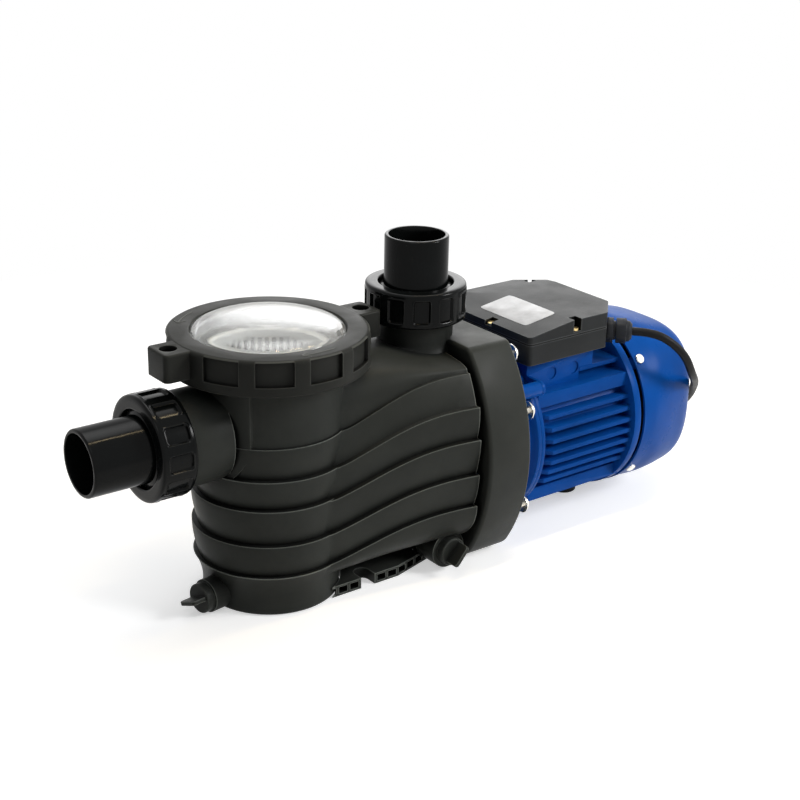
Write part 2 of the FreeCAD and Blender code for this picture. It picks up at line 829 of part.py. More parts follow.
# ---------------------------------------------------------------- lid, ring, basket
def lid_ring():
    """The locking ring: a lipped ring with pockets in its wall and two lugs with bar holes."""
    bore = pot_collar_r + run_gap
    lip_z = ring_top_z - ring_lip
    rim = ring_rim
    profile = [(ring_bottom_z, bore), (ring_bottom_z, ring_r - 1.0), (ring_bottom_z + 1.0, ring_r),
               (ring_top_z - rim, ring_r), (ring_top_z - rim * 0.62, ring_r - rim * 0.08),
               (ring_top_z - rim * 0.29, ring_r - rim * 0.29),
               (ring_top_z - rim * 0.08, ring_r - rim * 0.62),
               (ring_top_z, ring_r - rim), (ring_top_z, ring_window_r + 1.0),
               (ring_top_z - 1.0, ring_window_r), (lip_z, ring_window_r), (lip_z, bore)]
    ring = turned("z", profile)
    lug = block((ring_r - 6.0, lug_reach), (-lug_half_width, lug_half_width),
                (lug_bottom_z, ring_top_z - 0.4))
    upright = [e for e in lug.Edges if e.BoundBox.ZLength > 1.0 and e.BoundBox.XMin > ring_r]
    lug = lug.makeFillet(lug_round, upright)
    rims = [e for e in lug.Edges if abs(e.BoundBox.ZMin - ring_top_z + 0.4) < 1e-4
            and e.BoundBox.XMax > ring_r]
    lug = lug.makeFillet(1.6, rims)
    lug = lug.cut(cylinder("z", lug_hole_r, lug_bottom_z - 1.0, ring_top_z + 1.0,
                           (lug_hole_x, 0.0)))
    lugs = [turned_copy(lug, Vec(0, 0, 0), Z_AXIS, angle) for angle in (0.0, 180.0)]
    ring = fuse_all([ring] + lugs)
    sector = ring_pocket(ring_pocket_arc)
    cuts = [turned_copy(sector, Vec(0, 0, 0), Z_AXIS, ring_pocket_first + i * 360.0 / ring_pockets)
            for i in range(ring_pockets) if i % (ring_pockets // 2) != ring_pockets // 2 - 1]
    return ring.cut(Part.Compound(cuts))


def ring_pocket(arc):
    """One pocket's cutter, centred on +X: a sector of a thin ring."""
    outer = ring_r + 2.0
    inner = ring_r - ring_pocket_depth
    half = math.radians(arc / 2.0)

    def at(radius, angle):
        return Vec(radius * math.cos(angle), radius * math.sin(angle), ring_pocket_bottom_z)

    edges = [Part.Arc(at(inner, -half), at(inner, 0.0), at(inner, half)),
             Part.LineSegment(at(inner, half), at(outer, half)),
             Part.Arc(at(outer, half), at(outer, 0.0), at(outer, -half)),
             Part.LineSegment(at(outer, -half), at(inner, -half))]
    face = Part.Face(Part.Wire([e.toShape() for e in edges]))
    return face.extrude(Vec(0, 0, ring_pocket_top_z - ring_pocket_bottom_z))


def lid():
    """The clear lid: a flange under the ring's lip and a low dome that shows in the window."""
    low = pot_rim_z + static_gap
    lip_z = ring_top_z - ring_lip - static_gap
    outer = ring_window_r - run_gap
    inner = outer - lid_wall
    rise = lid_apex_z - lid_shoulder_z
    steps = 7
    dome = []
    for step in range(steps + 1):
        angle = math.pi / 2 * step / steps
        dome.append((lid_shoulder_z + rise * math.sin(angle), outer * math.cos(angle)))
    under = []
    for step in range(steps, -1, -1):
        angle = math.pi / 2 * step / steps
        under.append((lid_shoulder_z - lid_wall + rise * math.sin(angle),
                      inner * math.cos(angle)))
    dome[-1] = (dome[-1][0], 0.0)
    under[0] = (under[0][0], 0.0)
    profile = [(low, inner), (low, lid_flange_r), (lip_z, lid_flange_r), (lip_z, outer)]
    return turned("z", profile + dome + under)


def strainer_basket():
    """A tapered basket that hangs by its flange, slotted all round, open to the suction."""
    top = pot_rim_z - basket_seat_depth + static_gap
    flange_top = top + basket_flange
    inner_top = basket_top_r - basket_wall
    inner_bottom = basket_bottom_r - basket_wall
    profile = [(basket_bottom_z, 0.0), (basket_bottom_z, basket_bottom_r), (top, basket_top_r),
               (top, basket_seat_r - run_gap), (flange_top, basket_seat_r - run_gap),
               (flange_top, inner_top), (basket_bottom_z + basket_wall, inner_bottom),
               (basket_bottom_z + basket_wall, 0.0)]
    basket = turned("z", profile)
    half = basket_slot_width / 2.0
    first = basket_bottom_z + basket_floor_height
    slots = []
    for row in range(basket_rows):
        low = first + row * basket_slot_pitch
        slot = block((basket_bottom_r - 8.0, basket_top_r + 4.0), (-half, half),
                     (low, low + basket_slot_height))
        slots += pattern(slot, basket_columns, Vec(0, 0, 0), Z_AXIS,
                         180.0 / basket_columns)
    drain = cylinder("z", 4.0, basket_bottom_z - 1.0, basket_bottom_z + 4.0, (24.0, 0.0))
    slots += pattern(drain, 8, Vec(0, 0, 0), Z_AXIS)
    slots.append(cylinder("x", basket_inlet_r, -basket_top_r - 5.0, -basket_bottom_r + 12.0,
                          (0.0, suction_z)))
    return basket.cut(Part.Compound(slots))


# ---------------------------------------------------------------- drain plugs
def drain_plug():
    """A round plug with a stem and a flat wing to turn it by, built along +Z."""
    plug = cylinder("z", plug_r, static_gap, plug_head)
    top = [e for e in plug.Edges if abs(e.BoundBox.ZMin - plug_head) < 1e-4
           and e.BoundBox.ZLength < 1e-4]
    plug = plug.makeFillet(1.2, top)
    stem = cylinder("z", plug_stem_r, -plug_stem_length, 1.0)
    half_t = plug_wing_thickness / 2.0
    wing = block((-plug_wing_half_width, plug_wing_half_width), (-half_t, half_t),
                 (plug_head - 1.0, plug_head + plug_wing_length))
    corners = [e for e in wing.Edges if e.BoundBox.YLength > 1.0
               and e.BoundBox.ZMin > plug_head]
    wing = wing.makeFillet(3.0, corners)
    return fuse_all([plug, stem, wing])


def drain_plug_placed(origin, direction, turn):
    """A drain plug in its boss, with its wing turned about the plug's own axis."""
    plug = turned_copy(drain_plug(), Vec(0, 0, 0), Z_AXIS, turn)
    return placed(plug, origin, direction)


def drain_seal():
    low = static_gap - shaft_gap - drain_seal_section
    return torus("z", plug_seal_r(), drain_seal_section, low)


# ---------------------------------------------------------------- foot
def foot_plate():
    """The ribbed foot under the body: open slots for two bolts, a row of cells each side."""
    near = foot_half_width
    far = foot_end_half_width
    outline = [(foot_start_x, -near), (foot_taper_x, -near), (foot_end_x, -far),
               (foot_end_x, far), (foot_taper_x, near), (foot_start_x, near)]
    points = [Vec(x, y, 0) for x, y in outline]
    plate = Part.Face(Part.makePolygon(points + [points[0]])).extrude(Vec(0, 0, foot_height))
    cuts = [cylinder("z", pot_foot_r + static_gap + 0.8, -1.0, foot_height + 1.0),
            placed(cylinder("z", body_boss_r + run_gap, -foot_half_width, 0.0), BODY_DRAIN,
                   BODY_DRAIN_DIR)]
    slot_x = sum(foot_slot_x) / 2.0
    slot_r = (foot_slot_x[1] - foot_slot_x[0]) / 2.0
    floor = (foot_height - foot_cell_height) / 2.0
    for side in (-1, 1):
        inner_y = near - foot_slot_depth + slot_r
        cuts.append(cylinder("z", slot_r, -1.0, foot_height + 1.0, (slot_x, side * inner_y)))
        low, high = sorted((side * inner_y, side * (near + 1.0)))
        cuts.append(block(foot_slot_x, (low, high), (-1.0, foot_height + 1.0)))
        for start in foot_cells():
            edge = min(foot_edge_y(start), foot_edge_y(start + foot_cell_width))
            low, high = sorted((side * (edge - foot_cell_depth), side * (near + 1.0)))
            cuts.append(block((start, start + foot_cell_width), (low, high),
                              (floor, floor + foot_cell_height)))
    for x in foot_post_x:
        for side in (-1, 1):
            place = (x, side * foot_post_y)
            cuts.append(cylinder("z", foot_screw_r + shaft_gap, -1.0, foot_height + 1.0, place))
            cuts.append(cylinder("z", foot_screw_r * 2 + run_gap, -1.0, foot_screw_r + 1.0, place))
    return plate.cut(Part.Compound(cuts))


def foot_edge_y(x):
    if x <= foot_taper_x:
        return foot_half_width
    share = (x - foot_taper_x) / (foot_end_x - foot_taper_x)
    return foot_half_width + (foot_end_half_width - foot_half_width) * share


def foot_cells():
    """Where each open cell in the foot's edge starts, on both sides of the bolt slot."""
    wall = foot_cell_pitch - foot_cell_width
    before = foot_slot_x[0] - wall - foot_cell_width
    starts = [before - i * foot_cell_pitch for i in range(3)]
    x = foot_slot_x[1] + wall
    while x + foot_cell_width + wall < foot_end_x:
        starts.append(x)
        x += foot_cell_pitch
    return starts


def foot_screws():
    """Four screws up through the foot into the body's posts."""
    screws = []
    for x in foot_post_x:
        for side in (-1, 1):
            place = (x, side * foot_post_y)
            head = cylinder("z", foot_screw_r * 2, foot_screw_r - 1.0, foot_screw_r + 1.0, place)
            stem = cylinder("z", foot_screw_r, foot_screw_r, foot_height + 8.0, place)
            screws.append(head.fuse(stem))
    return Part.Compound(screws)


# ---------------------------------------------------------------- hydraulics
def impeller():
    """A closed impeller: two shrouds, curved blades between them, an eye ring and a hub."""
    rear = impeller_rear_x
    front = rear - impeller_thickness
    inner_face = front + impeller_shroud
    hub_r = shaft_front_r + 5.0
    parts = [motor_ring(impeller_r, shaft_front_r + shaft_gap, rear - impeller_shroud, rear),
             motor_ring(impeller_r, eye_r, front, inner_face),
             motor_ring(eye_r + eye_ring_wall, eye_r, chamber_front_x - suction_wall + 2.0,
                        inner_face),
             motor_ring(hub_r, shaft_front_r + shaft_gap, front + 1.0, rear + 1.0)]
    blade = impeller_blade(inner_face - 0.5, rear - impeller_shroud + 0.5)
    parts += pattern(blade, impeller_blades, MOTOR_CENTRE, X_AXIS)
    return fuse_all(parts)


def impeller_blade(start, end):
    """A backward-swept blade whose two faces are arcs, thickened from its middle line."""
    thickness = 3.0
    inner_r = eye_r + 2.0
    outer_r = impeller_r - 0.5
    sweep = math.radians(58.0)

    def at(share, offset):
        radius = inner_r + (outer_r - inner_r) * share
        angle = sweep * share + offset / radius
        return Vec(start, radius * math.cos(angle), motor_axis_z + radius * math.sin(angle))

    half = thickness / 2.0
    edges = [Part.Arc(at(0, -half), at(0.5, -half), at(1, -half)),
             Part.LineSegment(at(1, -half), at(1, half)),
             Part.Arc(at(1, half), at(0.5, half), at(0, half)),
             Part.LineSegment(at(0, half), at(0, -half))]
    face = Part.Face(Part.Wire([e.toShape() for e in edges]))
    return face.extrude(Vec(end - start, 0, 0))


def diffuser():
    """The guide cup round the impeller: a front disc, a ring of vanes and a rear ring."""
    outer = chamber_r - run_gap
    inner = impeller_r + 2.0
    front = chamber_front_x + static_gap
    rear = flange_rear_x - seal_plate_thickness - static_gap
    disc = motor_ring(outer, eye_r + eye_ring_wall + run_gap * 2, front, front + diffuser_wall)
    ring = motor_ring(outer, inner, rear - diffuser_wall, rear)
    vane = block((front, rear), (inner + 0.5, outer - 0.5), (-1.5, 1.5))
    vane.rotate(Vec(0, (inner + outer) / 2.0, 0), X_AXIS, 28.0)
    vane.translate(MOTOR_CENTRE)
    band = motor_ring(outer, inner, front, rear)
    vanes = [v.common(band) for v in pattern(vane, diffuser_vanes, MOTOR_CENTRE, X_AXIS)]
    return fuse_all([disc, ring] + vanes)


def seal_plate():
    """The plate that closes the impeller chamber and carries the seal's fixed ring."""
    front = flange_rear_x - seal_plate_thickness
    plate = flange_prism(front, flange_rear_x, flange_wall + run_gap)
    margin = 1.0
    hub_start = seal_seat_x()
    hub = motor_rod(seal_seat_r + seal_hub_wall, hub_start, front + margin)
    bore = motor_rod(shaft_bearing_r + shaft_room, hub_start - margin, flange_rear_x + margin)
    seat = motor_rod(seal_seat_r + shaft_gap, hub_start - margin, hub_start + seal_ring_length)
    groove = motor_ring(chamber_seal_r() + chamber_seal_section + seal_squeeze,
                        chamber_seal_r() - chamber_seal_section - seal_squeeze,
                        front - margin, front + 2 * chamber_seal_section)
    holes = [cylinder("x", flange_bolt_r + shaft_gap, front - margin, flange_rear_x + margin, place)
             for place in bolt_places()]
    return plate.fuse(hub).cut(Part.Compound([bore, seat, groove] + holes))


def chamber_seal():
    front = flange_rear_x - seal_plate_thickness
    middle = front - static_gap + shaft_gap + chamber_seal_section
    return torus("x", chamber_seal_r(), chamber_seal_section, middle, (0.0, motor_axis_z))


def chamber_seal_r():
    return chamber_r + 2.5


def seal_seat_x():
    return flange_rear_x - seal_plate_thickness - seal_hub_length


def seal_fixed_ring():
    start = seal_seat_x()
    return motor_ring(seal_seat_r, shaft_front_r + 1.2, start, start + seal_ring_length - static_gap)


def seal_turning_head():
    """The spring-loaded half of the shaft seal, between the impeller and the fixed ring."""
    end = seal_seat_x() - static_gap
    start = impeller_rear_x + 1.0 + static_gap
    cup = motor_ring(shaft_front_r + 5.0, shaft_front_r + shaft_gap, start, start + 2.0)
    face = motor_ring(shaft_front_r + 4.0, shaft_front_r + shaft_gap, start + 1.5, end)
    return cup.fuse(face)


# ---------------------------------------------------------------- motor
def bolt_places():
    return [(side * (flange_side_y(z) - inset), z)
            for inset, z in flange_bolt_pairs for side in (-1, 1)]


def ear_places():
    upper = [(side * ear_across, motor_axis_z + ear_up) for side in (-1, 1)]
    return upper + [(side * low_ear_across, motor_axis_z - low_ear_down) for side in (-1, 1)]


def front_end_bell():
    """The cast end bell: a bolted flange, a domed drum, ears and the front bearing's seat."""
    flange = flange_prism(flange_rear_x, bell_flange_x, bell_flange_inset)
    end_r = frame_collar_r
    drum = turned("x", [(bell_flange_x - 1.0, 0.0), (bell_flange_x - 1.0, bell_r),
                        (bell_rear_x - 8.0, bell_r), (bell_rear_x - 3.5, end_r),
                        (bell_rear_x, end_r), (bell_rear_x, 0.0)],
                  (0.0, motor_axis_z))
    ears = [cylinder("x", ear_r, bell_flange_x - 1.0, bell_rear_x, place)
            for place in ear_places()]
    solid = fuse_all([flange, drum] + ears)
    hollow = motor_ring(bell_r - 7.0, bearing_r + 6.0, bell_flange_x + 1.0, bell_rear_x + 1.0)
    bearing = motor_rod(bearing_r + shaft_gap, front_bearing_x, bell_rear_x + 1.0)
    bore = motor_rod(shaft_bearing_r + shaft_room, flange_rear_x - 1.0, bell_rear_x)
    holes = [cylinder("x", flange_bolt_r + shaft_gap, flange_rear_x - 1.0, bell_rear_x + 1.0,
                      place) for place in bolt_places()]
    clear = [cylinder("x", flange_washer_r + run_gap, bell_flange_x, bell_rear_x + 1.0, place)
             for place in bolt_places()]
    taps = [cylinder("x", ear_screw_r + shaft_gap, bell_rear_x - 14.0, bell_rear_x + 1.0, place)
            for place in ear_places()]
    under_box = block((box_start_x - 1.0, box_end_x), (-flange_half_width, flange_half_width),
                      (pad_top_z, flange_top_z))
    return solid.cut(Part.Compound([hollow, bearing, bore, under_box] + holes + clear + taps))


def fin_heights():
    return [fin_top_z - fin_pitch * i for i in range(fin_count)]


def motor_frame():
    """The cast frame: a barrel with level fins on both sides and a pad for the box."""
    start = bell_rear_x + static_gap
    margin = 1.0
    inside = motor_rod(frame_bore_r, start - margin, rear_collar_x[1] + margin)
    rear_room = motor_rod(rear_bell_r + run_gap, frame_rear_x, rear_collar_x[1] + margin)
    parts = [motor_rod(frame_r, start, frame_rear_x),
             motor_rod(frame_collar_r, start, start + frame_collar),
             motor_rod(rear_collar_r, *rear_collar_x), frame_pad(start)]
    parts += [fin(z) for z in fin_heights()]
    parts += [side_plate(plate_z, plate_reach, start), side_plate(low_plate_z, low_plate_reach, start)]
    half = fin_thickness / 2.0
    parts.append(block((pad_low_end_x, rear_collar_x[0]), (-short_fin_reach, short_fin_reach),
                       (short_fin_z - half, short_fin_z + half)))
    parts.append(block((start, frame_rear_x), (-belly_half_width, belly_half_width),
                       (belly_z, motor_axis_z - frame_r + 4.0)))
    ear_end = start + frame_ear
    parts += [cylinder("x", ear_r, start, ear_end, place) for place in ear_places()]
    parts.append(block((start, ear_end), (-ear_across, ear_across),
                       (motor_axis_z + ear_up - ear_r, motor_axis_z + ear_up + ear_r)))
    cuts = [inside, rear_room]
    for x in knockout_x:
        for side in (-1, 1):
            face = Vec(x, side * (pad_half_width - knockout_depth), pad_top_z - knockout_drop)
            cuts.append(Part.makeCylinder(knockout_r, knockout_depth * 2, face, Vec(0, side, 0)))
    cuts += [cylinder("x", ear_screw_r + shaft_gap, start - margin, ear_end + margin, place)
             for place in ear_places()]
    cuts += [cylinder("x", frame_screw_head_r + run_gap, ear_end, ear_end + frame_screw_pocket,
                      place) for place in ear_places()]
    cuts.append(block((box_start_x - 4.0, rear_collar_x[1] + margin),
                      (-box_half_width, box_half_width), (pad_top_z, box_seam_z)))
    cuts.append(cylinder("z", motor_foot_r + run_gap, 0.0, belly_z, (motor_foot_x, 0.0)))
    return fuse_all(parts).cut(Part.Compound(cuts))


def frame_pad(start):
    """The pad under the terminal box, its lower part a step shorter than its top."""
    across = (-pad_half_width, pad_half_width)
    top = block((start, pad_end_x), across, (pad_step_z, pad_top_z))
    return top.fuse(block((start, pad_low_end_x), across, (plate_z[0], pad_step_z)))


def side_plate(z_range, reach, start):
    """A level plate across the barrel, as thick as a fin and the gap beside it."""
    plate = block((start, frame_rear_x - 1.0), (-reach, reach), z_range)
    front = [e for e in plate.Edges if e.BoundBox.ZLength > 1.0 and e.BoundBox.XMax < start + 1.0]
    return plate.makeChamfer(fin_bevel / 2.0, front)


def fin(z):
    """One pair of level fins: a slab across the barrel, clipped to the outer envelope."""
    half = fin_thickness / 2.0
    reach = math.sqrt(fin_reach ** 2 - fin_roundness * (z - fin_middle_z) ** 2)
    slab = block((fin_start_x, frame_rear_x - 1.0), (-reach, reach), (z - half, z + half))
    front = [e for e in slab.Edges if e.BoundBox.ZLength > 1.0 and e.BoundBox.XMax < fin_start_x + 1]
    return slab.makeChamfer(fin_bevel, front)


def rear_end_bell():
    """The rear end bell: a disc with the rear bearing's seat and four arms for the cowl."""
    start = frame_rear_x + static_gap
    end = start + rear_bell
    bearing_end = rear_bearing_x + bearing_width + static_gap
    disc = motor_rod(rear_bell_r, start, end - 4.0)
    hub = motor_rod(bearing_r + 5.0, start, end + 3.0)
    spigot = motor_ring(frame_bore_r - shaft_gap, frame_bore_r - 4.0, start - 4.0, start + 1.0)
    arms = [turned_copy(cowl_arm(), MOTOR_CENTRE, X_AXIS, angle) for angle in cowl_screw_angles()]
    solid = fuse_all([disc, hub, spigot] + arms)
    seat = motor_rod(bearing_r + shaft_gap, start - 5.0, bearing_end)
    bore = motor_rod(shaft_bearing_r + shaft_room, start, end + 4.0)
    taps = [turned_copy(cowl_screw_rod(2.0 + shaft_gap, 14.0), MOTOR_CENTRE, X_AXIS, angle)
            for angle in cowl_screw_angles()]
    return solid.cut(Part.Compound([seat, bore] + taps))


def cowl_screw_angles():
    return [cowl_screw_angle, 180.0 - cowl_screw_angle, 180.0 + cowl_screw_angle,
            360.0 - cowl_screw_angle]


def cowl_seat_r():
    """How far the inside of the cowl stands from the motor axis at its screws."""
    return cowl_r - cowl_wall - static_gap


def cowl_arm():
    """One arm of the rear end bell, along +Y from the motor axis, with a flat end."""
    root = rear_bell_r - 8.0
    base = Vec(cowl_screw_x, root, motor_axis_z)
    return Part.makeCylinder(5.5, cowl_seat_r() - static_gap - root, base, Y_AXIS)


def cowl_screw_rod(radius, depth, head=0.0):
    start = cowl_seat_r() - depth
    rod = Part.makeCylinder(radius, depth + cowl_wall + 2 * static_gap + head,
                            Vec(cowl_screw_x, start, motor_axis_z), Y_AXIS)
    return rod


def cowl_screws():
    """Four screws through the cowl into the rear end bell's arms."""
    head_start = cowl_seat_r() + cowl_wall + 2 * static_gap
    head = Part.makeCylinder(4.2, 2.0, Vec(cowl_screw_x, head_start, motor_axis_z), Y_AXIS)
    screw = cowl_screw_rod(2.0, 12.0).fuse(head)
    return Part.Compound([turned_copy(screw, MOTOR_CENTRE, X_AXIS, angle)
                          for angle in cowl_screw_angles()])


def cowl_reach(x):
    """Half the cowl's width across its flats: straight, a long taper, a rounded end."""
    if x <= cowl_straight_x:
        return cowl_r
    if x <= cowl_shoulder_x:
        share = (x - cowl_straight_x) / (cowl_shoulder_x - cowl_straight_x)
        return cowl_r - (cowl_r - cowl_shoulder_r) * share ** 1.3
    share = (x - cowl_shoulder_x) / (cowl_end_x - cowl_shoulder_x)
    return cowl_end_r + (cowl_shoulder_r - cowl_end_r) * (1.0 - share ** 1.5) ** 0.75


def cowl_section(x, reach):
    """A rounded square across the motor's axis, a circle where the cowl starts."""
    share = (x - cowl_straight_x) / (cowl_shoulder_x - cowl_straight_x)
    power = 2.0 + (cowl_squareness - 2.0) * min(max(share, 0.0), 1.0)
    points = []
    count = 32
    for i in range(count):
        angle = 2.0 * math.pi * i / count
        across, up = math.cos(angle), math.sin(angle)
        radius = reach / (abs(across) ** power + abs(up) ** power) ** (1.0 / power)
        points.append(Vec(x, radius * across, motor_axis_z + radius * up))
    curve = Part.BSplineCurve()
    curve.interpolate(points, PeriodicFlag=True)
    return Part.Wire(curve.toShape())


def cowl_form(inset):
    """The cowl's outside, or its inside for an inset of one wall, lofted to its flat end."""
    taper = cowl_end_x - cowl_shoulder_x
    front = cowl_front_x - (1.0 if inset else 0.0)
    level = cowl_straight_x - front
    stations = [front + level * share for share in (0.0, 0.35, 0.65, 0.85, 1.0)]
    stations += [cowl_straight_x + (cowl_shoulder_x - cowl_straight_x) * i / 5.0 for i in range(1, 6)]
    stations += [cowl_shoulder_x + taper * share for share in (0.3, 0.55, 0.75, 0.9, 1.0)]
    sections = []
    step = 0.01
    for x in stations:
        ahead = min(x + step, cowl_end_x)
        slope = (cowl_reach(ahead) - cowl_reach(ahead - step)) / step
        length = math.hypot(1.0, slope)
        back = inset * min(-slope / length, 1.0)
        sections.append(cowl_section(x - back, cowl_reach(x) - inset / length))
    return Part.makeLoft(sections, True, False)


def fan_cowl():
    """The fan cowl: a tapering dome with an air grille of level slots at its back."""
    shell = cowl_form(0.0).cut(cowl_form(cowl_wall))
    cuts = []
    first = -(cowl_slots - 1) / 2.0 * cowl_slot_pitch
    for i in range(cowl_slots):
        drop = first + i * cowl_slot_pitch
        reach = math.sqrt(cowl_grille_r ** 2 - drop ** 2)
        cuts.append(block((cowl_end_x - 8.0, cowl_end_x + 1.0), (-reach, reach),
                          (motor_axis_z + drop - cowl_slot_height / 2.0,
                           motor_axis_z + drop + cowl_slot_height / 2.0)))
    for angle in cowl_screw_angles():
        cuts.append(turned_copy(cowl_screw_rod(2.0 + shaft_gap * 2, 2.0, 2.0), MOTOR_CENTRE,
                                X_AXIS, angle))
    return shell.cut(Part.Compound(cuts))


def motor_shaft():
    """The stepped shaft from the impeller's nose to the fan."""
    step_front = front_bearing_x - 8.0
    rear_bearing_end = rear_bearing_x + bearing_width
    profile = [(shaft_nose_x, 0.0), (shaft_nose_x, shaft_front_r - 1.0),
               (shaft_nose_x + 1.0, shaft_front_r), (step_front, shaft_front_r),
               (step_front, shaft_bearing_r), (front_bearing_x + bearing_width, shaft_bearing_r),
               (front_bearing_x + bearing_width, shaft_body_r), (rear_bearing_x, shaft_body_r),
               (rear_bearing_x, shaft_bearing_r), (rear_bearing_end + 6.0, shaft_bearing_r),
               (rear_bearing_end + 6.0, shaft_front_r), (shaft_tail_x - 1.0, shaft_front_r),
               (shaft_tail_x, shaft_front_r - 1.0), (shaft_tail_x, 0.0)]
    return turned("x", profile, (0.0, motor_axis_z))


def impeller_nut():
    """The nut that holds the impeller on the shaft's nose."""
    across = 16.0
    points = [(across / math.sqrt(3) * math.cos(math.radians(60 * i)),
               motor_axis_z + across / math.sqrt(3) * math.sin(math.radians(60 * i)))
              for i in range(6)]
    end = impeller_rear_x - impeller_thickness + 1.0 - static_gap
    nut = prism_x(points, end - 7.0, end)
    return nut.cut(motor_rod(shaft_front_r + shaft_gap, end - 8.0, end + 1.0))


def bearing_outer(start):
    race = motor_ring(bearing_r, bearing_r - 3.4, start, start + bearing_width)
    track = torus("x", bearing_middle_r(), bearing_ball_r + 0.1, start + bearing_width / 2.0,
                  (0.0, motor_axis_z))
    return race.cut(track)


def bearing_inner(start):
    """The inner race with its balls: one solid ring and a ring of balls just clear of it."""
    race = motor_ring(shaft_bearing_r + 3.4, shaft_bearing_r + shaft_gap, start,
                      start + bearing_width)
    middle = start + bearing_width / 2.0
    track = torus("x", bearing_middle_r(), bearing_ball_r + 0.1, middle, (0.0, motor_axis_z))
    ball = Part.makeSphere(bearing_ball_r, Vec(middle, bearing_middle_r(), motor_axis_z))
    balls = pattern(ball, bearing_balls, MOTOR_CENTRE, X_AXIS)
    return Part.Compound([race.cut(track)] + balls)


def bearing_middle_r():
    return (bearing_r + shaft_bearing_r) / 2.0


def rotor_core():
    return motor_ring(core_r, shaft_body_r + shaft_gap, core_start_x, core_end_x)


def stator_core():
    """The laminated stack with a ring of slots open to the rotor."""
    stack = motor_ring(frame_bore_r - shaft_gap, core_r + air_gap, core_start_x, core_end_x)
    slot = block((core_start_x - 1.0, core_end_x + 1.0), (core_r - 2.0, core_r + 14.0),
                 (-2.0, 2.0))
    slot.translate(MOTOR_CENTRE)
    return stack.cut(Part.Compound(pattern(slot, 12, MOTOR_CENTRE, X_AXIS)))


def stator_winding(start, end):
    """The winding's end turns, a rounded ring at one end of the stack."""
    inner = core_r + 4.0
    ease = 3.0
    profile = [(start, inner + ease), (start, winding_r - ease), (start + ease, winding_r),
               (end - ease, winding_r), (end, winding_r - ease), (end, inner + ease),
               (end - ease, inner), (start + ease, inner)]
    return turned("x", profile, (0.0, motor_axis_z))


def stator_windings():
    front = core_start_x - static_gap
    rear = core_end_x + static_gap
    return Part.Compound([stator_winding(front - winding_reach, front),
                          stator_winding(rear, rear + winding_reach)])


def cooling_fan():
    """A radial fan with straight blades on a hub that is pushed on the shaft's tail."""
    hub = motor_ring(fan_hub_r, shaft_front_r + shaft_gap, fan_x, fan_x + fan_depth)
    disc = motor_ring(fan_r, shaft_front_r + shaft_gap, fan_x, fan_x + 2.0)
    blade = block((fan_x + 1.0, fan_x + fan_depth), (fan_hub_r - 2.0, fan_r), (-1.2, 1.2))
    blade.translate(MOTOR_CENTRE)
    return fuse_all([hub, disc] + pattern(blade, fan_blades, MOTOR_CENTRE, X_AXIS))


def fan_clip():
    place = fan_x + fan_depth + static_gap
    return motor_ring(shaft_front_r + 3.0, shaft_front_r + shaft_gap, place, place + 1.2)


def flange_bolts():
    """Eight bolts with washers through the end bell and the seal plate into the body."""
    bolts = []
    head = bell_flange_x + flange_washer + 0.02
    for place in bolt_places():
        washer = cylinder("x", flange_washer_r, bell_flange_x + 0.02, head, place)
        stem = cylinder("x", flange_bolt_r, flange_bolt_tip_x, head + 1.0, place)
        cap = cylinder("x", flange_bolt_head_r, head, head + flange_bolt_head, place)
        rim = [e for e in cap.Edges if abs(e.BoundBox.XMin - cap.BoundBox.XMax) < 1e-4]
        cap = cap.makeFillet(flange_bolt_head / 2.0, rim)
        bolts.append(fuse_all([washer, stem, cap]))
    return Part.Compound(bolts)


def frame_screws():
    """Four screws that hold the frame to the front end bell's ears."""
    start = bell_rear_x + static_gap
    screws = []
    for place in ear_places():
        seat = start + frame_ear + face_gap
        stem = cylinder("x", ear_screw_r, start - 10.0, seat + 0.5, place)
        cap = cylinder("x", frame_screw_head_r, seat, seat + frame_screw_head, place)
        screws.append(stem.fuse(cap))
    return Part.Compound(screws)


def motor_foot():
    """The rubber foot under the motor's belly."""
    foot = cylinder("z", motor_foot_r, 0.0, belly_z, (motor_foot_x, 0.0))
    rim = [e for e in foot.Edges if abs(e.BoundBox.ZMax) < 1e-4]
    return foot.makeFillet(1.5, rim)


# ---------------------------------------------------------------- terminal box
def box_outline_prism(inset, low, high):
    """The box's plan, with its two cut corners, extruded between two heights."""
    end = box_end_x
    side = box_half_width
    cut = box_corner_cut
    outline = [(box_start_x, -side), (end - cut, -side), (end, cut - side), (end, side - cut),
               (end - cut, side), (box_start_x, side)]
    points = [Vec(x, y, low) for x, y in outline]
    face = Part.Face(Part.makePolygon(points + [points[0]]))
    if inset:
        face = face.makeOffset2D(-inset, 2)
    box = face.extrude(Vec(0, 0, high - low))
    upright = [e for e in box.Edges if abs(e.BoundBox.ZLength - (high - low)) < 1e-4]
    return box.makeFillet(max(box_corner_r - inset, 1.5), upright)


def terminal_box():
    """The box's base: a tray on the frame's pad with a hole for the gland."""
    top = box_seam_z - box_gasket
    tray = box_outline_prism(0.0, box_bottom_z, top)
    hollow = box_outline_prism(box_wall, box_bottom_z + box_wall, top + 1.0)
    gland = gland_placed(cylinder("z", gland_thread_r + shaft_gap, -box_wall - 4.0, 1.0))
    posts = [box_screw_post(x, y) for x, y in box_screw_places()]
    taps = [cylinder("z", box_screw_r + shaft_gap, box_bottom_z + 3.0, top + 1.0, place)
            for place in box_screw_places()]
    tray = tray.cut(Part.Compound([hollow, gland]))
    return fuse_all([tray] + posts).cut(Part.Compound(taps))


def box_screw_places():
    inset = box_screw_notch / 2.0
    side = box_half_width - inset
    corner = (box_corner_cut + inset * math.sqrt(2.0)) / 2.0
    return [(box_start_x + inset, -8.0), (box_ramp_x + 6.0, -side), (box_start_x + 22.0, side),
            (box_end_x - corner, box_half_width - corner)]


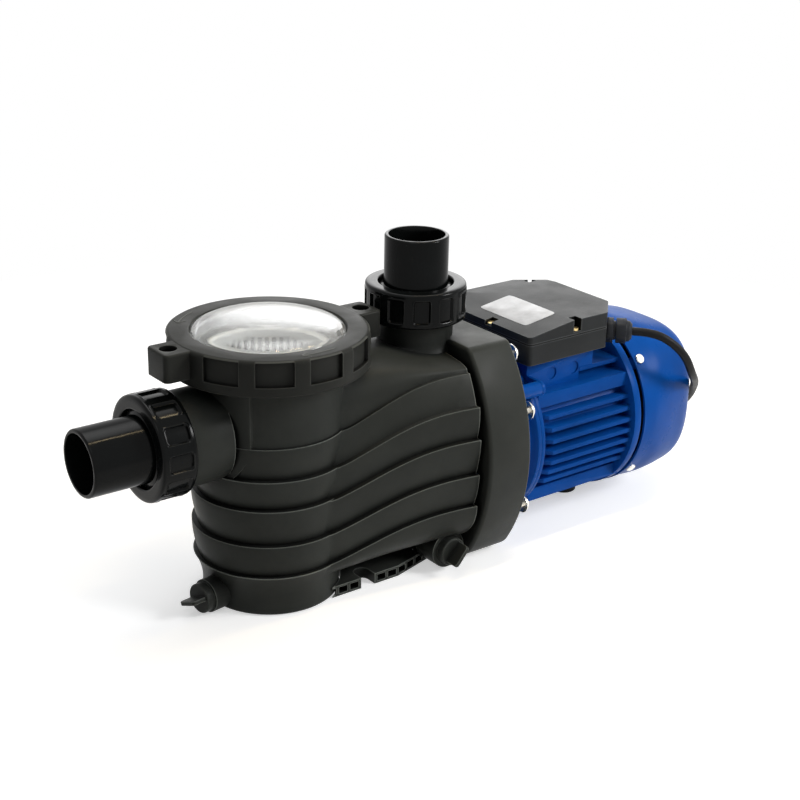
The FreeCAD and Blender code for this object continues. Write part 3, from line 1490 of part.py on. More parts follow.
def box_screw_post(x, y):
    return cylinder("z", box_screw_notch / 2.0, box_bottom_z + 1.0, box_seam_z - box_gasket,
                    (x, y)).common(box_outline_prism(0.0, box_bottom_z, box_seam_z))


def box_gasket_ring():
    low = box_seam_z - box_gasket + 0.02
    ring = box_outline_prism(0.4, low, box_seam_z - 0.02)
    ring = ring.cut(box_outline_prism(box_wall + 0.8, low - 1.0, box_seam_z + 1.0))
    holes = [cylinder("z", box_screw_r + run_gap, low - 1.0, box_seam_z + 1.0, place)
             for place in box_screw_places()]
    return ring.cut(Part.Compound(holes))


def box_cover_form(inset):
    """The cover: a slanted face at the pump's end, a flat top, a gentle fall on the far side."""
    top = box_top_z - inset
    low = box_seam_z
    slant = [(box_start_x - 1.0, low), (box_start_x - 1.0, box_low_z - inset),
             (box_ramp_x, top), (box_end_x + 1.0, top), (box_end_x + 1.0, low)]
    fall = [(-box_half_width - 1.0, low), (-box_half_width - 1.0, top), (box_far_y, top),
            (box_half_width + 1.0, box_far_z - inset), (box_half_width + 1.0, low)]
    wide = box_half_width + 2.0
    points = [Vec(x, -wide, z) for x, z in slant]
    along = Part.Face(Part.makePolygon(points + [points[0]])).extrude(Vec(0, 2 * wide, 0))
    across = prism_x(fall, box_start_x - 2.0, box_end_x + 2.0)
    return box_outline_prism(inset, low, box_top_z + 1.0).common(along).common(across)


def box_cover():
    """The cover as a shell, with a notch over each of its screws."""
    solid = box_cover_form(0.0)
    hollow = box_cover_form(box_wall)
    hollow.translate(Vec(0, 0, -0.01))
    seats = []
    notches = []
    half = box_screw_notch / 2.0
    floor = box_seam_z + 2.2
    for x, y in box_screw_places():
        seat = block((x - half - 2.0, x + half + 2.0), (y - half - 2.0, y + half + 2.0),
                     (box_seam_z, box_top_z))
        seats.append(seat.common(solid))
        notches.append(block((x - half, x + half), (y - half, y + half), (floor, box_top_z + 1.0)))
        notches.append(cylinder("z", box_screw_r + shaft_gap, box_seam_z - 1.0, floor + 1.0,
                                (x, y)))
    shell = fuse_all([solid.cut(hollow)] + seats)
    return shell.cut(Part.Compound(notches))


def box_screws():
    """Four screws that hold the cover, each at the bottom of its notch."""
    screws = []
    floor = box_seam_z + 2.2
    for place in box_screw_places():
        head = cylinder("z", box_screw_r * 1.8, floor + 0.02, floor + 2.2, place)
        stem = cylinder("z", box_screw_r, box_bottom_z + 4.0, floor + 1.0, place)
        screws.append(head.fuse(stem))
    return Part.Compound(screws)


def terminal_block():
    """A five-way terminal strip on the box's floor."""
    low = box_bottom_z + box_wall + 0.02
    strip = block((224.0, 240.0), (-26.0, 26.0), (low, low + 13.0))
    cuts = [cylinder("z", 2.6, low + 7.0, low + 14.0, (x, -20.0 + 10.0 * i))
            for i in range(5) for x in (228.5, 235.5)]
    return strip.cut(Part.Compound(cuts))


def capacitor():
    """The run capacitor, lying across the box."""
    low = box_bottom_z + box_wall + 0.05
    centre_z = low + capacitor_r
    start = -capacitor_length / 2.0 + 12.0
    can = Part.makeCylinder(capacitor_r, capacitor_length,
                            Vec(capacitor_x, start, centre_z), Y_AXIS)
    stud = Part.makeCylinder(3.0, 6.0, Vec(capacitor_x, start - 6.0, centre_z), Y_AXIS)
    return can.fuse(stud)


def gland_placed(shape):
    """Move a shape built along +Z from the origin onto the box's cut corner."""
    middle = box_corner_cut / 2.0
    place = Vec(box_end_x - middle, -(box_half_width - middle), gland_z)
    return placed(shape, place, GLAND_DIR)


GLAND_DIR = Vec(math.sqrt(0.5), -math.sqrt(0.5), 0)


def hexagon_prism(across, start, end):
    """A hexagon along +Z with its corners turned down a little."""
    radius = across / math.sqrt(3)
    points = [Vec(radius * math.cos(math.radians(60 * i)), radius * math.sin(math.radians(60 * i)),
                  start) for i in range(6)]
    solid = Part.Face(Part.makePolygon(points + [points[0]])).extrude(Vec(0, 0, end - start))
    return solid.common(cylinder("z", across / 2.0 * 1.1, start, end))


def cable_gland():
    """The gland's body: its thread goes through the box wall, its flange seats outside."""
    bore = cord_r + run_gap
    start = static_gap
    thread = cylinder("z", gland_thread_r, -box_wall - 3.0, start + 1.0)
    flange = hexagon_prism(gland_across, start, gland_flange)
    neck = cylinder("z", gland_across / 2.0 - 1.5, gland_flange - 1.0, gland_flange + 2.0)
    solid = fuse_all([thread, flange, neck])
    return gland_placed(solid.cut(cylinder("z", bore, -20.0, 20.0)))


def gland_cap():
    """The gland's clamping cap, a hexagon that narrows to the cable."""
    bore = cord_r + shaft_gap
    start = gland_flange + 2.0 + static_gap
    end = gland_length
    half = gland_across / 2.0
    hexagon = hexagon_prism(gland_across, start, end - 5.0)
    nose = turned("z", [(end - 5.5, 0.0), (end - 5.5, half - 0.3), (end - 2.0, half - 1.2),
                        (end, half - 3.6), (end, 0.0)])
    solid = fuse_all([hexagon, nose])
    return gland_placed(solid.cut(cylinder("z", bore, start - 1.0, end + 1.0)))


# ---------------------------------------------------------------- lead
CORD_ROUTE = [
    (314.6, -63.3, 165.2),
    (325.5, -74.2, 165.2),
    (337.2, -84.1, 159.1),
    (351.3, -91.4, 144.5),
    (366.3, -87.4, 123.3),
    (390.0, -70.0, 107.6),
    (409.1, -53.0, 93.1),
    (421.6, -37.3, 75.6),
    (428.4, -16.6, 56.1),
    (429.6, 9.6, 36.9),
    (423.6, 36.7, 20.3),
    (409.0, 60.0, 8.5),
    (384.0, 75.0, 3.6),
    (354.0, 86.0, 3.6),
    (323.0, 94.0, 3.6),
    (292.0, 98.9, 3.6),
    (263.6, 99.9, 3.6),
]
CORD_END_ROUTE = [
    (263.6, 184.1, 10.9),
    (283.0, 184.9, 12.0),
    (304.0, 187.6, 14.8),
    (323.0, 191.8, 16.1),
    (341.0, 197.0, 16.1),
]


def cord_tube(route):
    """A free stretch of the lead: straight runs joined by arcs as large as they allow."""
    points = [Vec(*p) for p in route]
    edges = []
    radii = []
    here = points[0]
    for before, corner, after in zip(points, points[1:], points[2:]):
        inward = (corner - before)
        outward = (after - corner)
        run = min(inward.Length, outward.Length)
        inward.normalize()
        outward.normalize()
        turn = inward.getAngle(outward)
        radius = bend_share * run / math.tan(turn / 2.0)
        radii.append(radius)
        reach = bend_share * run
        start = corner - inward * reach
        end = corner + outward * reach
        to_centre = (outward - inward)
        to_centre.normalize()
        apex = corner + to_centre * (radius / math.cos(turn / 2.0) - radius)
        edges.append(Part.LineSegment(here, start).toShape())
        edges.append(Part.Arc(start, apex, end).toShape())
        here = end
    edges.append(Part.LineSegment(here, points[-1]).toShape())
    path = Part.Wire(edges)
    section = Part.Wire(Part.makeCircle(cord_r, points[0], points[1] - points[0]))
    solid = path.makePipeShell([section], True, False)
    expected = math.pi * cord_r ** 2 * path.Length
    print("cord radii", [round(r, 1) for r in radii])
    print("cord length %.1f volume ratio %.4f" % (path.Length, solid.Volume / expected))
    return solid


def cord_coil():
    """The rest of the lead, wound up: the outer shape of its turns."""
    ease = cord_r
    half = coil_columns * cord_r + coil_slack
    inner = coil_r - half
    outer = coil_r + half
    high = 2 * coil_layers * cord_r + 2 * coil_slack
    profile = [(0.0, inner + ease), (0.0, outer - ease), (ease, outer), (high - ease, outer),
               (high, outer - ease), (high, inner + ease), (high - ease, inner), (ease, inner)]
    return turned("z", profile, coil_centre)


def mains_plug():
    """A round two-pin plug, lying on the floor at the end of the lead."""
    end = Vec(*CORD_END_ROUTE[-1])
    direction = end - Vec(*CORD_END_ROUTE[-2])
    direction.normalize()
    body_end = plug_relief + plug_body_length
    ease = 3.0
    shell = turned("z", [(0.0, 0.0), (0.0, cord_r + 1.5), (plug_relief, plug_body_r - 4.0),
                         (plug_relief + 6.0, plug_body_r), (body_end - ease, plug_body_r),
                         (body_end, plug_body_r - ease), (body_end, 0.0)])
    pins = [cylinder("z", plug_pin_r, body_end - 1.0, body_end + plug_pin_length,
                     (0.0, side * plug_pin_spacing / 2.0)) for side in (-1, 1)]
    return placed(fuse_all([shell] + pins), end + direction * static_gap, direction)


# ---------------------------------------------------------------- all pieces
def pieces():
    """Each node's name with its shape."""
    seal = drain_seal()
    nut = union_nut()
    return {
        "pump_body": pump_body(),
        "lid": lid(),
        "lid_ring": lid_ring(),
        "lid_seal": lid_seal(),
        "strainer_basket": strainer_basket(),
        "suction_nut": placed(nut, *SUCTION),
        "suction_tail": placed(union_tail(suction_length()), *SUCTION),
        "suction_seal": suction_seal(),
        "discharge_nut": placed(nut, *DISCHARGE),
        "discharge_tail": placed(union_tail(discharge_length()), *DISCHARGE),
        "discharge_seal": discharge_seal(),
        "pot_drain_plug": drain_plug_placed(POT_DRAIN, POT_DRAIN_DIR, pot_plug_turn),
        "pot_drain_seal": placed(seal, POT_DRAIN, POT_DRAIN_DIR),
        "body_drain_plug": drain_plug_placed(BODY_DRAIN, BODY_DRAIN_DIR, body_plug_turn),
        "body_drain_seal": placed(seal, BODY_DRAIN, BODY_DRAIN_DIR),
        "foot_plate": foot_plate(),
        "foot_screws": foot_screws(),
        "impeller": impeller(),
        "impeller_nut": impeller_nut(),
        "diffuser": diffuser(),
        "seal_plate": seal_plate(),
        "chamber_seal": chamber_seal(),
        "shaft_seal_fixed_ring": seal_fixed_ring(),
        "shaft_seal_turning_head": seal_turning_head(),
        "motor_shaft": motor_shaft(),
        "front_bearing_outer_race": bearing_outer(front_bearing_x),
        "front_bearing_inner_race": bearing_inner(front_bearing_x),
        "rear_bearing_outer_race": bearing_outer(rear_bearing_x),
        "rear_bearing_inner_race": bearing_inner(rear_bearing_x),
        "front_end_bell": front_end_bell(),
        "motor_frame": motor_frame(),
        "rear_end_bell": rear_end_bell(),
        "rotor_core": rotor_core(),
        "stator_core": stator_core(),
        "stator_windings": stator_windings(),
        "cooling_fan": cooling_fan(),
        "fan_clip": fan_clip(),
        "fan_cowl": fan_cowl(),
        "cowl_screws": cowl_screws(),
        "frame_screws": frame_screws(),
        "flange_bolts": flange_bolts(),
        "motor_foot": motor_foot(),
        "terminal_box": terminal_box(),
        "terminal_box_gasket": box_gasket_ring(),
        "terminal_box_cover": box_cover(),
        "cover_screws": box_screws(),
        "terminal_block": terminal_block(),
        "capacitor": capacitor(),
        "cable_gland": cable_gland(),
        "gland_cap": gland_cap(),
        "power_cord": cord_tube(CORD_ROUTE),
        "power_cord_coil": cord_coil(),
        "power_cord_end": cord_tube(CORD_END_ROUTE),
        "mains_plug": mains_plug(),
    }


def main():
    os.makedirs("parts", exist_ok=True)
    for name, shape in pieces().items():
        print("%-28s solids %2d valid %s volume %.0f" % (
            name, len(shape.Solids), shape.isValid(), shape.Volume))
        shape.exportStep("parts/%s.step" % name)


main()
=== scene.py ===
"""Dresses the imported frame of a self-priming pool pump.

Metres, in the frame's own axes: the origin is the centre of the strainer pot's underside,
+X points to the motor, the suction union looks along -X and the discharge union along +Z.
"""
import math

import bmesh
import bpy
import numpy as np
from bpy.props import FloatProperty, FloatVectorProperty, IntProperty, PointerProperty
from mathutils import Matrix, Vector


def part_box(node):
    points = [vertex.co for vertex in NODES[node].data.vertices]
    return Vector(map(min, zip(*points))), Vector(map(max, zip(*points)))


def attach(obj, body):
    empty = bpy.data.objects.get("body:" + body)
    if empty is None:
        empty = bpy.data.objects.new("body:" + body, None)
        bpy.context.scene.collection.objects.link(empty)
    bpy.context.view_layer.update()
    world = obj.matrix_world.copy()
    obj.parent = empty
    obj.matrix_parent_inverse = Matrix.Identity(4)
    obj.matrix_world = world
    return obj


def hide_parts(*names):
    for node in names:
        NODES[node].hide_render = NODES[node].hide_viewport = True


bl_info = {
    "name": "Pool Pump",
    "version": (1, 0, 0),
    "blender": (4, 5, 0),
    "location": "3D View > Sidebar > Pool Pump",
    "description": "Dresses the frame of a pool pump with its finishes and fine pieces",
    "category": "Add Mesh",
}

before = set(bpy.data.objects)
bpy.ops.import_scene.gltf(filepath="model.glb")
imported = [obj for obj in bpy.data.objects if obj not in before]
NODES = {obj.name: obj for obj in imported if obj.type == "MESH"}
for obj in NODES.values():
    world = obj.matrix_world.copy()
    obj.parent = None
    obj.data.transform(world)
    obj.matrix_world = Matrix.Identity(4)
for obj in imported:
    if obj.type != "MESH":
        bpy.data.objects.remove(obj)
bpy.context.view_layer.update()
MM = 0.001
TAU = 2.0 * math.pi

# the lead's free stretches, as the part's source lays them, in millimetres
CORD_ROUTE = (
    (314.6, -63.3, 165.2), (325.5, -74.2, 165.2), (337.2, -84.1, 159.1),
    (351.3, -91.4, 144.5), (366.3, -87.4, 123.3), (390.0, -70.0, 107.6),
    (409.1, -53.0, 93.1), (421.6, -37.3, 75.6), (428.4, -16.6, 56.1),
    (429.6, 9.6, 36.9), (423.6, 36.7, 20.3), (409.0, 60.0, 8.5),
    (384.0, 75.0, 3.6), (354.0, 86.0, 3.6), (323.0, 94.0, 3.6),
    (292.0, 98.9, 3.6), (263.6, 99.9, 3.6))
CORD_END_ROUTE = (
    (263.6, 184.1, 10.9), (283.0, 184.9, 12.0), (304.0, 187.6, 14.8),
    (323.0, 191.8, 16.1), (341.0, 197.0, 16.1))
COIL_CENTRE = (238.0, 142.0)
COIL_TURNS = 3.5
COIL_INNER = 34.9
COIL_OUTER = 42.1
COIL_LOW = 3.6
COIL_HIGH = 10.9
STRAP_HALF = (7.9, 7.35)

# the fasteners, as the part's source lays them, in millimetres
FLANGE_BOLTS = ((53.05, 168.0), (75.97, 127.0), (75.01, 46.0), (39.98, 13.0))
FLANGE_BOLT_SEAT = 191.6
COWL_SCREW_X = 331.0
COWL_SCREW_SEAT = 76.7
COWL_SCREW_ANGLES = (40.5, 139.5, 220.5, 319.5)
MOTOR_AXIS_Z = 86.0
WASHER_THICKNESS = 1.2

# the strainer basket, in metres
BASKET_FLOOR = 0.020
BASKET_TOP = 0.1907
BASKET_FLOOR_R = 0.041
BASKET_TAPER = 0.005
BASKET_WALL = 0.002
BASKET_SLOTS = 52
BASKET_CELLS = 5          # grid columns to a slot and its bar
BASKET_OPEN_CELLS = 3     # columns of them that are open
SLOT_FOOT = 0.030
SLOT_PITCH = 0.054
SLOT_LENGTH = 0.0465
INLET_Z = 0.140
INLET_R = 0.024

# the studio: each soft lamp's place, size and share of the key power
LAMP_AIM = (0.12, 0.0, 0.11)
LAMPS = (
    ("Key", (1.15, -1.15, 1.0), (0.7, 0.7), 2.1),
    ("Fill", (-0.8, -0.7, 1.4), (0.8, 0.8), 0.25),
    ("Top", (0.35, 0.35, 1.5), (1.2, 1.2), 0.95),
    ("Back", (1.15, 1.1, 0.72), (1.5, 0.9), 0.6))
WHITE = (1.0, 1.0, 1.0, 1.0)


# ---------------------------------------------------------------- settings
class PumpFinishSettings(bpy.types.PropertyGroup):
    body_colour: FloatVectorProperty(
        name="Body", description="Moulded body, foot and drain plugs", subtype="COLOR",
        size=4, min=0.0, max=1.0, default=(0.026, 0.028, 0.0255, 1.0))
    ring_colour: FloatVectorProperty(
        name="Locking ring", description="Satin plastic of the ring over the lid",
        subtype="COLOR", size=4, min=0.0, max=1.0, default=(0.0175, 0.0182, 0.0165, 1.0))
    union_colour: FloatVectorProperty(
        name="Unions", description="Gloss plastic of the nuts and pipe tails",
        subtype="COLOR", size=4, min=0.0, max=1.0, default=(0.0022, 0.0027, 0.0028, 1.0))
    motor_colour: FloatVectorProperty(
        name="Motor paint", description="Gloss paint of the castings and the cowl",
        subtype="COLOR", size=4, min=0.0, max=1.0, default=(0.002, 0.052, 0.25, 1.0))
    box_colour: FloatVectorProperty(
        name="Terminal box", description="Satin plastic of the box and its cover",
        subtype="COLOR", size=4, min=0.0, max=1.0, default=(0.021, 0.0225, 0.0235, 1.0))
    label_colour: FloatVectorProperty(
        name="Blank plate", description="The blank plate on the box cover", subtype="COLOR",
        size=4, min=0.0, max=1.0, default=(0.4, 0.41, 0.43, 1.0))
    grain_depth: FloatProperty(
        name="Grain depth", description="Depth of the moulded grain", subtype="DISTANCE",
        unit="LENGTH", min=0.0, max=0.001, default=0.00005)


class PumpUnionSettings(bpy.types.PropertyGroup):
    pocket_count: IntProperty(
        name="Pockets", description="Pockets round each nut", min=4, max=24, default=12)
    pocket_depth: FloatProperty(
        name="Pocket depth", description="How deep the pockets are", subtype="DISTANCE",
        unit="LENGTH", min=0.0, max=0.004, default=0.0016)
    pocket_width: FloatProperty(
        name="Pocket width", description="Width of one pocket round the nut",
        subtype="DISTANCE", unit="LENGTH", min=0.004, max=0.02, default=0.0132)
    pocket_length: FloatProperty(
        name="Pocket length", description="Length of one pocket along the nut",
        subtype="DISTANCE", unit="LENGTH", min=0.004, max=0.024, default=0.0185)


class PumpLeadSettings(bpy.types.PropertyGroup):
    lead_diameter: FloatProperty(
        name="Lead diameter", description="Outside diameter of the lead",
        subtype="DISTANCE", unit="LENGTH", min=0.004, max=0.012, default=0.007)
    points_a_turn: IntProperty(
        name="Points a turn", description="Spline points in one turn of the coil", min=12,
        max=24, default=16)


class PumpStageSettings(bpy.types.PropertyGroup):
    camera_place: FloatVectorProperty(
        name="Camera", description="Where the camera stands", subtype="TRANSLATION",
        unit="LENGTH", size=3, default=(-0.5716, -0.9053, 0.5788))
    camera_azimuth: FloatProperty(
        name="Azimuth", description="Turn of the view about the vertical",
        subtype="ANGLE", unit="ROTATION", default=math.radians(-37.49))
    camera_pitch: FloatProperty(
        name="Pitch", description="How far the camera looks down", subtype="ANGLE",
        unit="ROTATION", default=math.radians(21.65))
    camera_roll: FloatProperty(
        name="Roll", description="Roll of the camera about its view", subtype="ANGLE",
        unit="ROTATION", default=math.radians(1.244))
    focal_length: FloatProperty(
        name="Focal length", description="Lens, for a 36 mm wide sensor", min=20.0,
        max=200.0, default=69.38)
    key_power: FloatProperty(
        name="Key light", description="Power that the lamps share", subtype="POWER",
        unit="POWER", min=0.0, max=500.0, default=10.0)


# ---------------------------------------------------------------- meshes from numpy grids
def link(obj):
    bpy.context.scene.collection.objects.link(obj)
    return obj


def grid_piece(name, points, wrap_rows=False, wrap_columns=True, close_ends=False,
               keep=None):
    """A mesh over a (rows, columns, 3) array of points in metres.

    Vertex (i, j) joins to (i + 1, j) and (i, j + 1). A wrapped direction joins its last
    line back to its first. With close_ends the first and the last row become faces.
    keep is a (cells down, cells across) mask of the cells that become faces.
    """
    rows, columns = points.shape[:2]
    index = np.arange(rows * columns).reshape(rows, columns)
    down = np.roll(index, -1, axis=0) if wrap_rows else index[1:]
    here = index if wrap_rows else index[:-1]
    if wrap_columns:
        right_here = np.roll(here, -1, axis=1)
        right_down = np.roll(down, -1, axis=1)
    else:
        right_here, right_down = here[:, 1:], down[:, 1:]
        here, down = here[:, :-1], down[:, :-1]
    quads = np.stack([here, right_here, right_down, down], axis=-1)
    faces = (quads.reshape(-1, 4) if keep is None else quads[keep]).tolist()
    if close_ends:
        faces.append(index[0][::-1].tolist())
        faces.append(index[-1].tolist())
    mesh = bpy.data.meshes.new(name)
    mesh.from_pydata(points.reshape(-1, 3).tolist(), [], faces)
    return link(tidy_mesh(bpy.data.objects.new(name, mesh)))


def tidy_mesh(obj):
    """Merge doubles, point the faces outwards and shade smooth up to 32 degrees."""
    work = bmesh.new()
    work.from_mesh(obj.data)
    bmesh.ops.remove_doubles(work, verts=work.verts, dist=1e-6)
    bmesh.ops.dissolve_degenerate(work, edges=work.edges, dist=1e-8)
    bmesh.ops.recalc_face_normals(work, faces=work.faces)
    work.to_mesh(obj.data)
    work.free()
    obj.data.polygons.foreach_set("use_smooth", [True] * len(obj.data.polygons))
    obj.data.set_sharp_from_angle(angle=math.radians(32.0))
    obj.data.update()
    return obj


def joined(name, objects):
    """Several pieces as one mesh."""
    work = bmesh.new()
    for obj in objects:
        work.from_mesh(obj.data)
        bpy.data.objects.remove(obj)
    mesh = bpy.data.meshes.new(name)
    work.to_mesh(mesh)
    work.free()
    return link(tidy_mesh(bpy.data.objects.new(name, mesh)))


def eased(profile, corners, steps):
    """A closed profile with its named corners rounded.

    profile is a list of (along, radius); corners maps an index to a radius. Each rounded
    corner becomes a quadratic curve (1-t)^2 a + 2 t (1-t) p + t^2 b between two points
    that lie the corner's radius away from it on its two sides.
    """
    points = np.array(profile, float)
    out = []
    count = len(points)
    for i in range(count):
        if i not in corners:
            out.append(points[i][None])
            continue
        ends = []
        for side in (points[i - 1] - points[i], points[(i + 1) % count] - points[i]):
            length = np.linalg.norm(side)
            ends.append(points[i] + side / length * min(corners[i], length / 2))
        a, b = ends
        t = np.linspace(0.0, 1.0, steps + 1)[:, None]
        out.append((1 - t) ** 2 * a + 2 * t * (1 - t) * points[i] + t ** 2 * b)
    return np.concatenate(out)


def densified(profile, longest):
    """Points added along a profile's straight runs so that no step is over longest."""
    closed = np.vstack([profile, profile[:1]])
    out = []
    for a, b in zip(closed[:-1], closed[1:]):
        steps = max(1, int(math.ceil(np.linalg.norm(b - a) / longest)))
        out.append(a + (b - a) * (np.arange(steps) / steps)[:, None])
    return np.concatenate(out)


def spun(profile, count):
    """A closed (along, radius) profile turned about the local Z axis.

    Point (i, j) is (r_i cos a_j, r_i sin a_j, z_i) with a_j = 2 pi j / count.
    """
    angle = TAU * np.arange(count) / count
    along, radius = profile[:, 0][:, None], profile[:, 1][:, None]
    return np.stack([radius * np.cos(angle), radius * np.sin(angle),
                     along + 0.0 * angle], axis=-1)


def aimed(points, origin, direction):
    """Points built along local Z, moved to origin so that local Z looks along direction."""
    turn = Vector((0, 0, 1)).rotation_difference(Vector(direction)).to_matrix()
    return points @ np.array(turn).T + np.array(origin)


def smooth_step(low, high, value):
    t = np.clip((value - low) / (high - low), 0.0, 1.0)
    return t * t * (3.0 - 2.0 * t)


def signed_power(value, power):
    """|value| to a power, with the value's own sign: the superellipse's rounding."""
    return np.sign(value) * np.abs(value) ** power


def swept(path, profile, up):
    """A profile of (across, height) carried along a path of points.

    Each point is path + across * side + height * up, where side is the unit vector at
    right angles to the path's own direction and to up.
    """
    along = np.gradient(path, axis=0)
    along /= np.linalg.norm(along, axis=1)[:, None]
    side = np.cross(along, np.asarray(up, float))
    side /= np.linalg.norm(side, axis=1)[:, None]
    return (path[:, None] + profile[None, :, 0:1] * side[:, None]
            + profile[None, :, 1:2] * np.asarray(up, float))


def pan_head_screw(name, place, direction, head, stem, washer=(0.0, 0.0)):
    """A pan head screw with a cross recess, its washer and its plain stem.

    head, stem and washer are (radius, length). The profile runs from the head's middle
    over the pan, out to the washer and down the stem, and turns about the screw's axis.
    The recess lowers the top by depth * S(w), where w is the distance to the nearer arm
    of the cross, so that its floor is flat and its walls steep.
    """
    reach, high = head
    seat = washer[1]
    bend = np.linspace(0.0, math.pi / 2.0, 9)
    flat = np.linspace(0.0, reach * 0.62, 22)
    crown = np.stack([reach * (0.62 + 0.38 * np.sin(bend)),
                      seat + high * (0.42 + 0.58 * np.cos(bend))], axis=-1)
    top = np.stack([flat, np.full_like(flat, seat + high)], axis=-1)
    lower = [(reach, seat)]
    if washer[0]:
        lower += [(washer[0] - 0.0003, seat), (washer[0], seat - 0.0003), (washer[0], 0.0)]
    lower += [(stem[0], 0.0), (stem[0], -stem[1]), (0.0, -stem[1])]
    profile = np.vstack([top, crown[1:], lower])
    grid = spun(profile[:, ::-1], 96)
    across = np.abs(grid[..., 0])
    along = np.abs(grid[..., 1])
    width = reach * 0.13
    inside = 1.0 - smooth_step(width * 0.8, width * 1.25, np.minimum(across, along))
    inside *= 1.0 - smooth_step(reach * 0.5, reach * 0.6, np.maximum(across, along))
    crowned = (np.arange(len(profile)) < len(top))[:, None]
    grid[..., 2] -= np.where(crowned, inside * high * 0.55, 0.0)
    return grid_piece(name, aimed(grid, place, direction))


# ---------------------------------------------------------------- materials
def math_node(tree, operation, first, second):
    """A Math node's result; first and second are sockets or plain numbers."""
    node = tree.nodes.new("ShaderNodeMath")
    node.operation = operation
    for socket, value in zip(node.inputs, (first, second)):
        if isinstance(value, bpy.types.NodeSocket):
            tree.links.new(value, socket)
        else:
            socket.default_value = value
    return node.outputs[0]


def seen_rays(tree):
    """1 for the rays that show the backdrop: camera, glossy and transmission rays."""
    path = tree.nodes.new("ShaderNodeLightPath").outputs
    seen = math_node(tree, "MAXIMUM", path["Is Camera Ray"], path["Is Glossy Ray"])
    return math_node(tree, "MAXIMUM", seen, path["Is Transmission Ray"])


def either(tree, factor, first, second):
    """A mix of two shaders: first where factor is 0, second where it is 1."""
    choice = tree.nodes.new("ShaderNodeMixShader")
    for source, socket in zip((factor, first, second), choice.inputs):
        tree.links.new(source, socket)
    return choice.outputs[0]


def scaled(colour, share):
    """A colour share times as bright, at most white."""
    return tuple(min(1.0, c * share) for c in colour[:3]) + (1.0,)


class Bench:
    """One material and the nodes that it is made of."""

    def __init__(self, name):
        self.material = bpy.data.materials.new(name)
        self.material.use_nodes = True
        self.tree = self.material.node_tree
        self.shader = self.tree.nodes["Principled BSDF"]
        self.surface = self.tree.nodes["Material Output"].inputs["Surface"]
        self.place = self.add("ShaderNodeTexCoord").outputs["Object"]

    def add(self, kind, **inputs):
        node = self.tree.nodes.new(kind)
        for key, value in inputs.items():
            node.inputs[key.replace("_", " ")].default_value = value
        return node

    def join(self, source, target):
        self.tree.links.new(source, target)

    def set(self, **values):
        for key, value in values.items():
            self.shader.inputs[key.replace("_", " ")].default_value = value

    def noise(self, scale, detail=3.0, rough=0.5, stretch=None):
        node = self.add("ShaderNodeTexNoise", Scale=scale, Detail=detail, Roughness=rough)
        place = self.place
        if stretch:
            mapping = self.add("ShaderNodeMapping", Scale=stretch)
            self.join(place, mapping.inputs["Vector"])
            place = mapping.outputs["Vector"]
        self.join(place, node.inputs["Vector"])
        return node.outputs["Fac"]

    def ranged(self, value, low, high, start=0.3, end=0.7):
        node = self.add("ShaderNodeMapRange")
        node.inputs["From Min"].default_value = start
        node.inputs["From Max"].default_value = end
        node.inputs["To Min"].default_value = low
        node.inputs["To Max"].default_value = high
        self.join(value, node.inputs["Value"])
        return node.outputs["Result"]

    def mixed(self, factor, first, second):
        node = self.add("ShaderNodeMix")
        node.data_type = "RGBA"
        for socket, value in ((node.inputs[6], first), (node.inputs[7], second)):
            if isinstance(value, bpy.types.NodeSocket):
                self.join(value, socket)
            else:
                socket.default_value = value
        self.join(factor, node.inputs[0])
        return node.outputs[2]

    def bump(self, height, distance, strength=1.0):
        node = self.add("ShaderNodeBump", Strength=strength, Distance=distance)
        self.join(height, node.inputs["Height"])
        if self.shader.inputs["Normal"].links:
            self.join(self.shader.inputs["Normal"].links[0].from_socket, node.inputs["Normal"])
        self.join(node.outputs["Normal"], self.shader.inputs["Normal"])

    def colour(self, base, lift, scale=18.0):
        """The base colour with broad, faint patches that are lift times as bright."""
        factor = self.ranged(self.noise(scale, 4.0, 0.6), 0.0, 1.0, 0.35, 0.65)
        self.join(self.mixed(factor, tuple(base), scaled(base, lift)),
                  self.shader.inputs["Base Color"])

    def openness(self, reach, inside=False):
        """How free a place is of its own piece within reach, outwards or inwards."""
        node = self.add("ShaderNodeAmbientOcclusion", Distance=reach)
        node.only_local, node.inside, node.samples = True, inside, 8
        return node.outputs["AO"]

    def painted_shade_and_highlights(self, base, shade, gap, pale, edge, edge_highlight):
        """Painted shade in the valleys narrower than gap and painted highlights that pale the
        outer edges within edge, both laid into the base colour.
        """
        source = self.shader.inputs["Base Color"].links[0].from_socket
        # painted shade: the base colour darkens where the piece's own surface closes in within
        # gap
        open_place = self.ranged(self.openness(gap), 0.0, 1.0, 0.45, 0.97)
        shaded = self.mixed(open_place, scaled(base, shade), source)
        # painted highlight: the base colour turns towards the pale colour along the outer edges
        rim = self.ranged(self.openness(edge, True), edge_highlight, 0.0, 0.5, 0.92)
        self.join(self.mixed(rim, shaded, pale), self.shader.inputs["Base Color"])

    def roughness(self, low, high, scale=40.0):
        self.join(self.ranged(self.noise(scale, 4.0, 0.6), low, high),
                  self.shader.inputs["Roughness"])


def moulded_plastic(name, colour, low=0.42, high=0.56, grain=0.00005, lift=1.25,
                    shine=0.07, edge_highlight=0.0):
    """Satin moulded plastic with a fine eroded grain and faint flow marks. Where an edge share
    is given, its base colour also carries painted shade in the valleys and painted highlights
    that pale the outer edges.
    """
    bench = Bench(name)
    bench.colour(colour, lift)
    if edge_highlight:
        # painted shade in the valleys and painted highlights, eight times the colour, along the
        # outer edges
        bench.painted_shade_and_highlights(colour, 0.12, 0.02, scaled(colour, 8.0), 0.0012, edge_highlight)
    bench.roughness(low, high)
    bench.bump(bench.noise(1300.0, 2.0, 0.6), grain)
    bench.bump(bench.noise(60.0, 3.0, 0.5), 0.0002, 0.5)
    bench.set(IOR=1.5, Specular_IOR_Level=shine)
    return bench.material


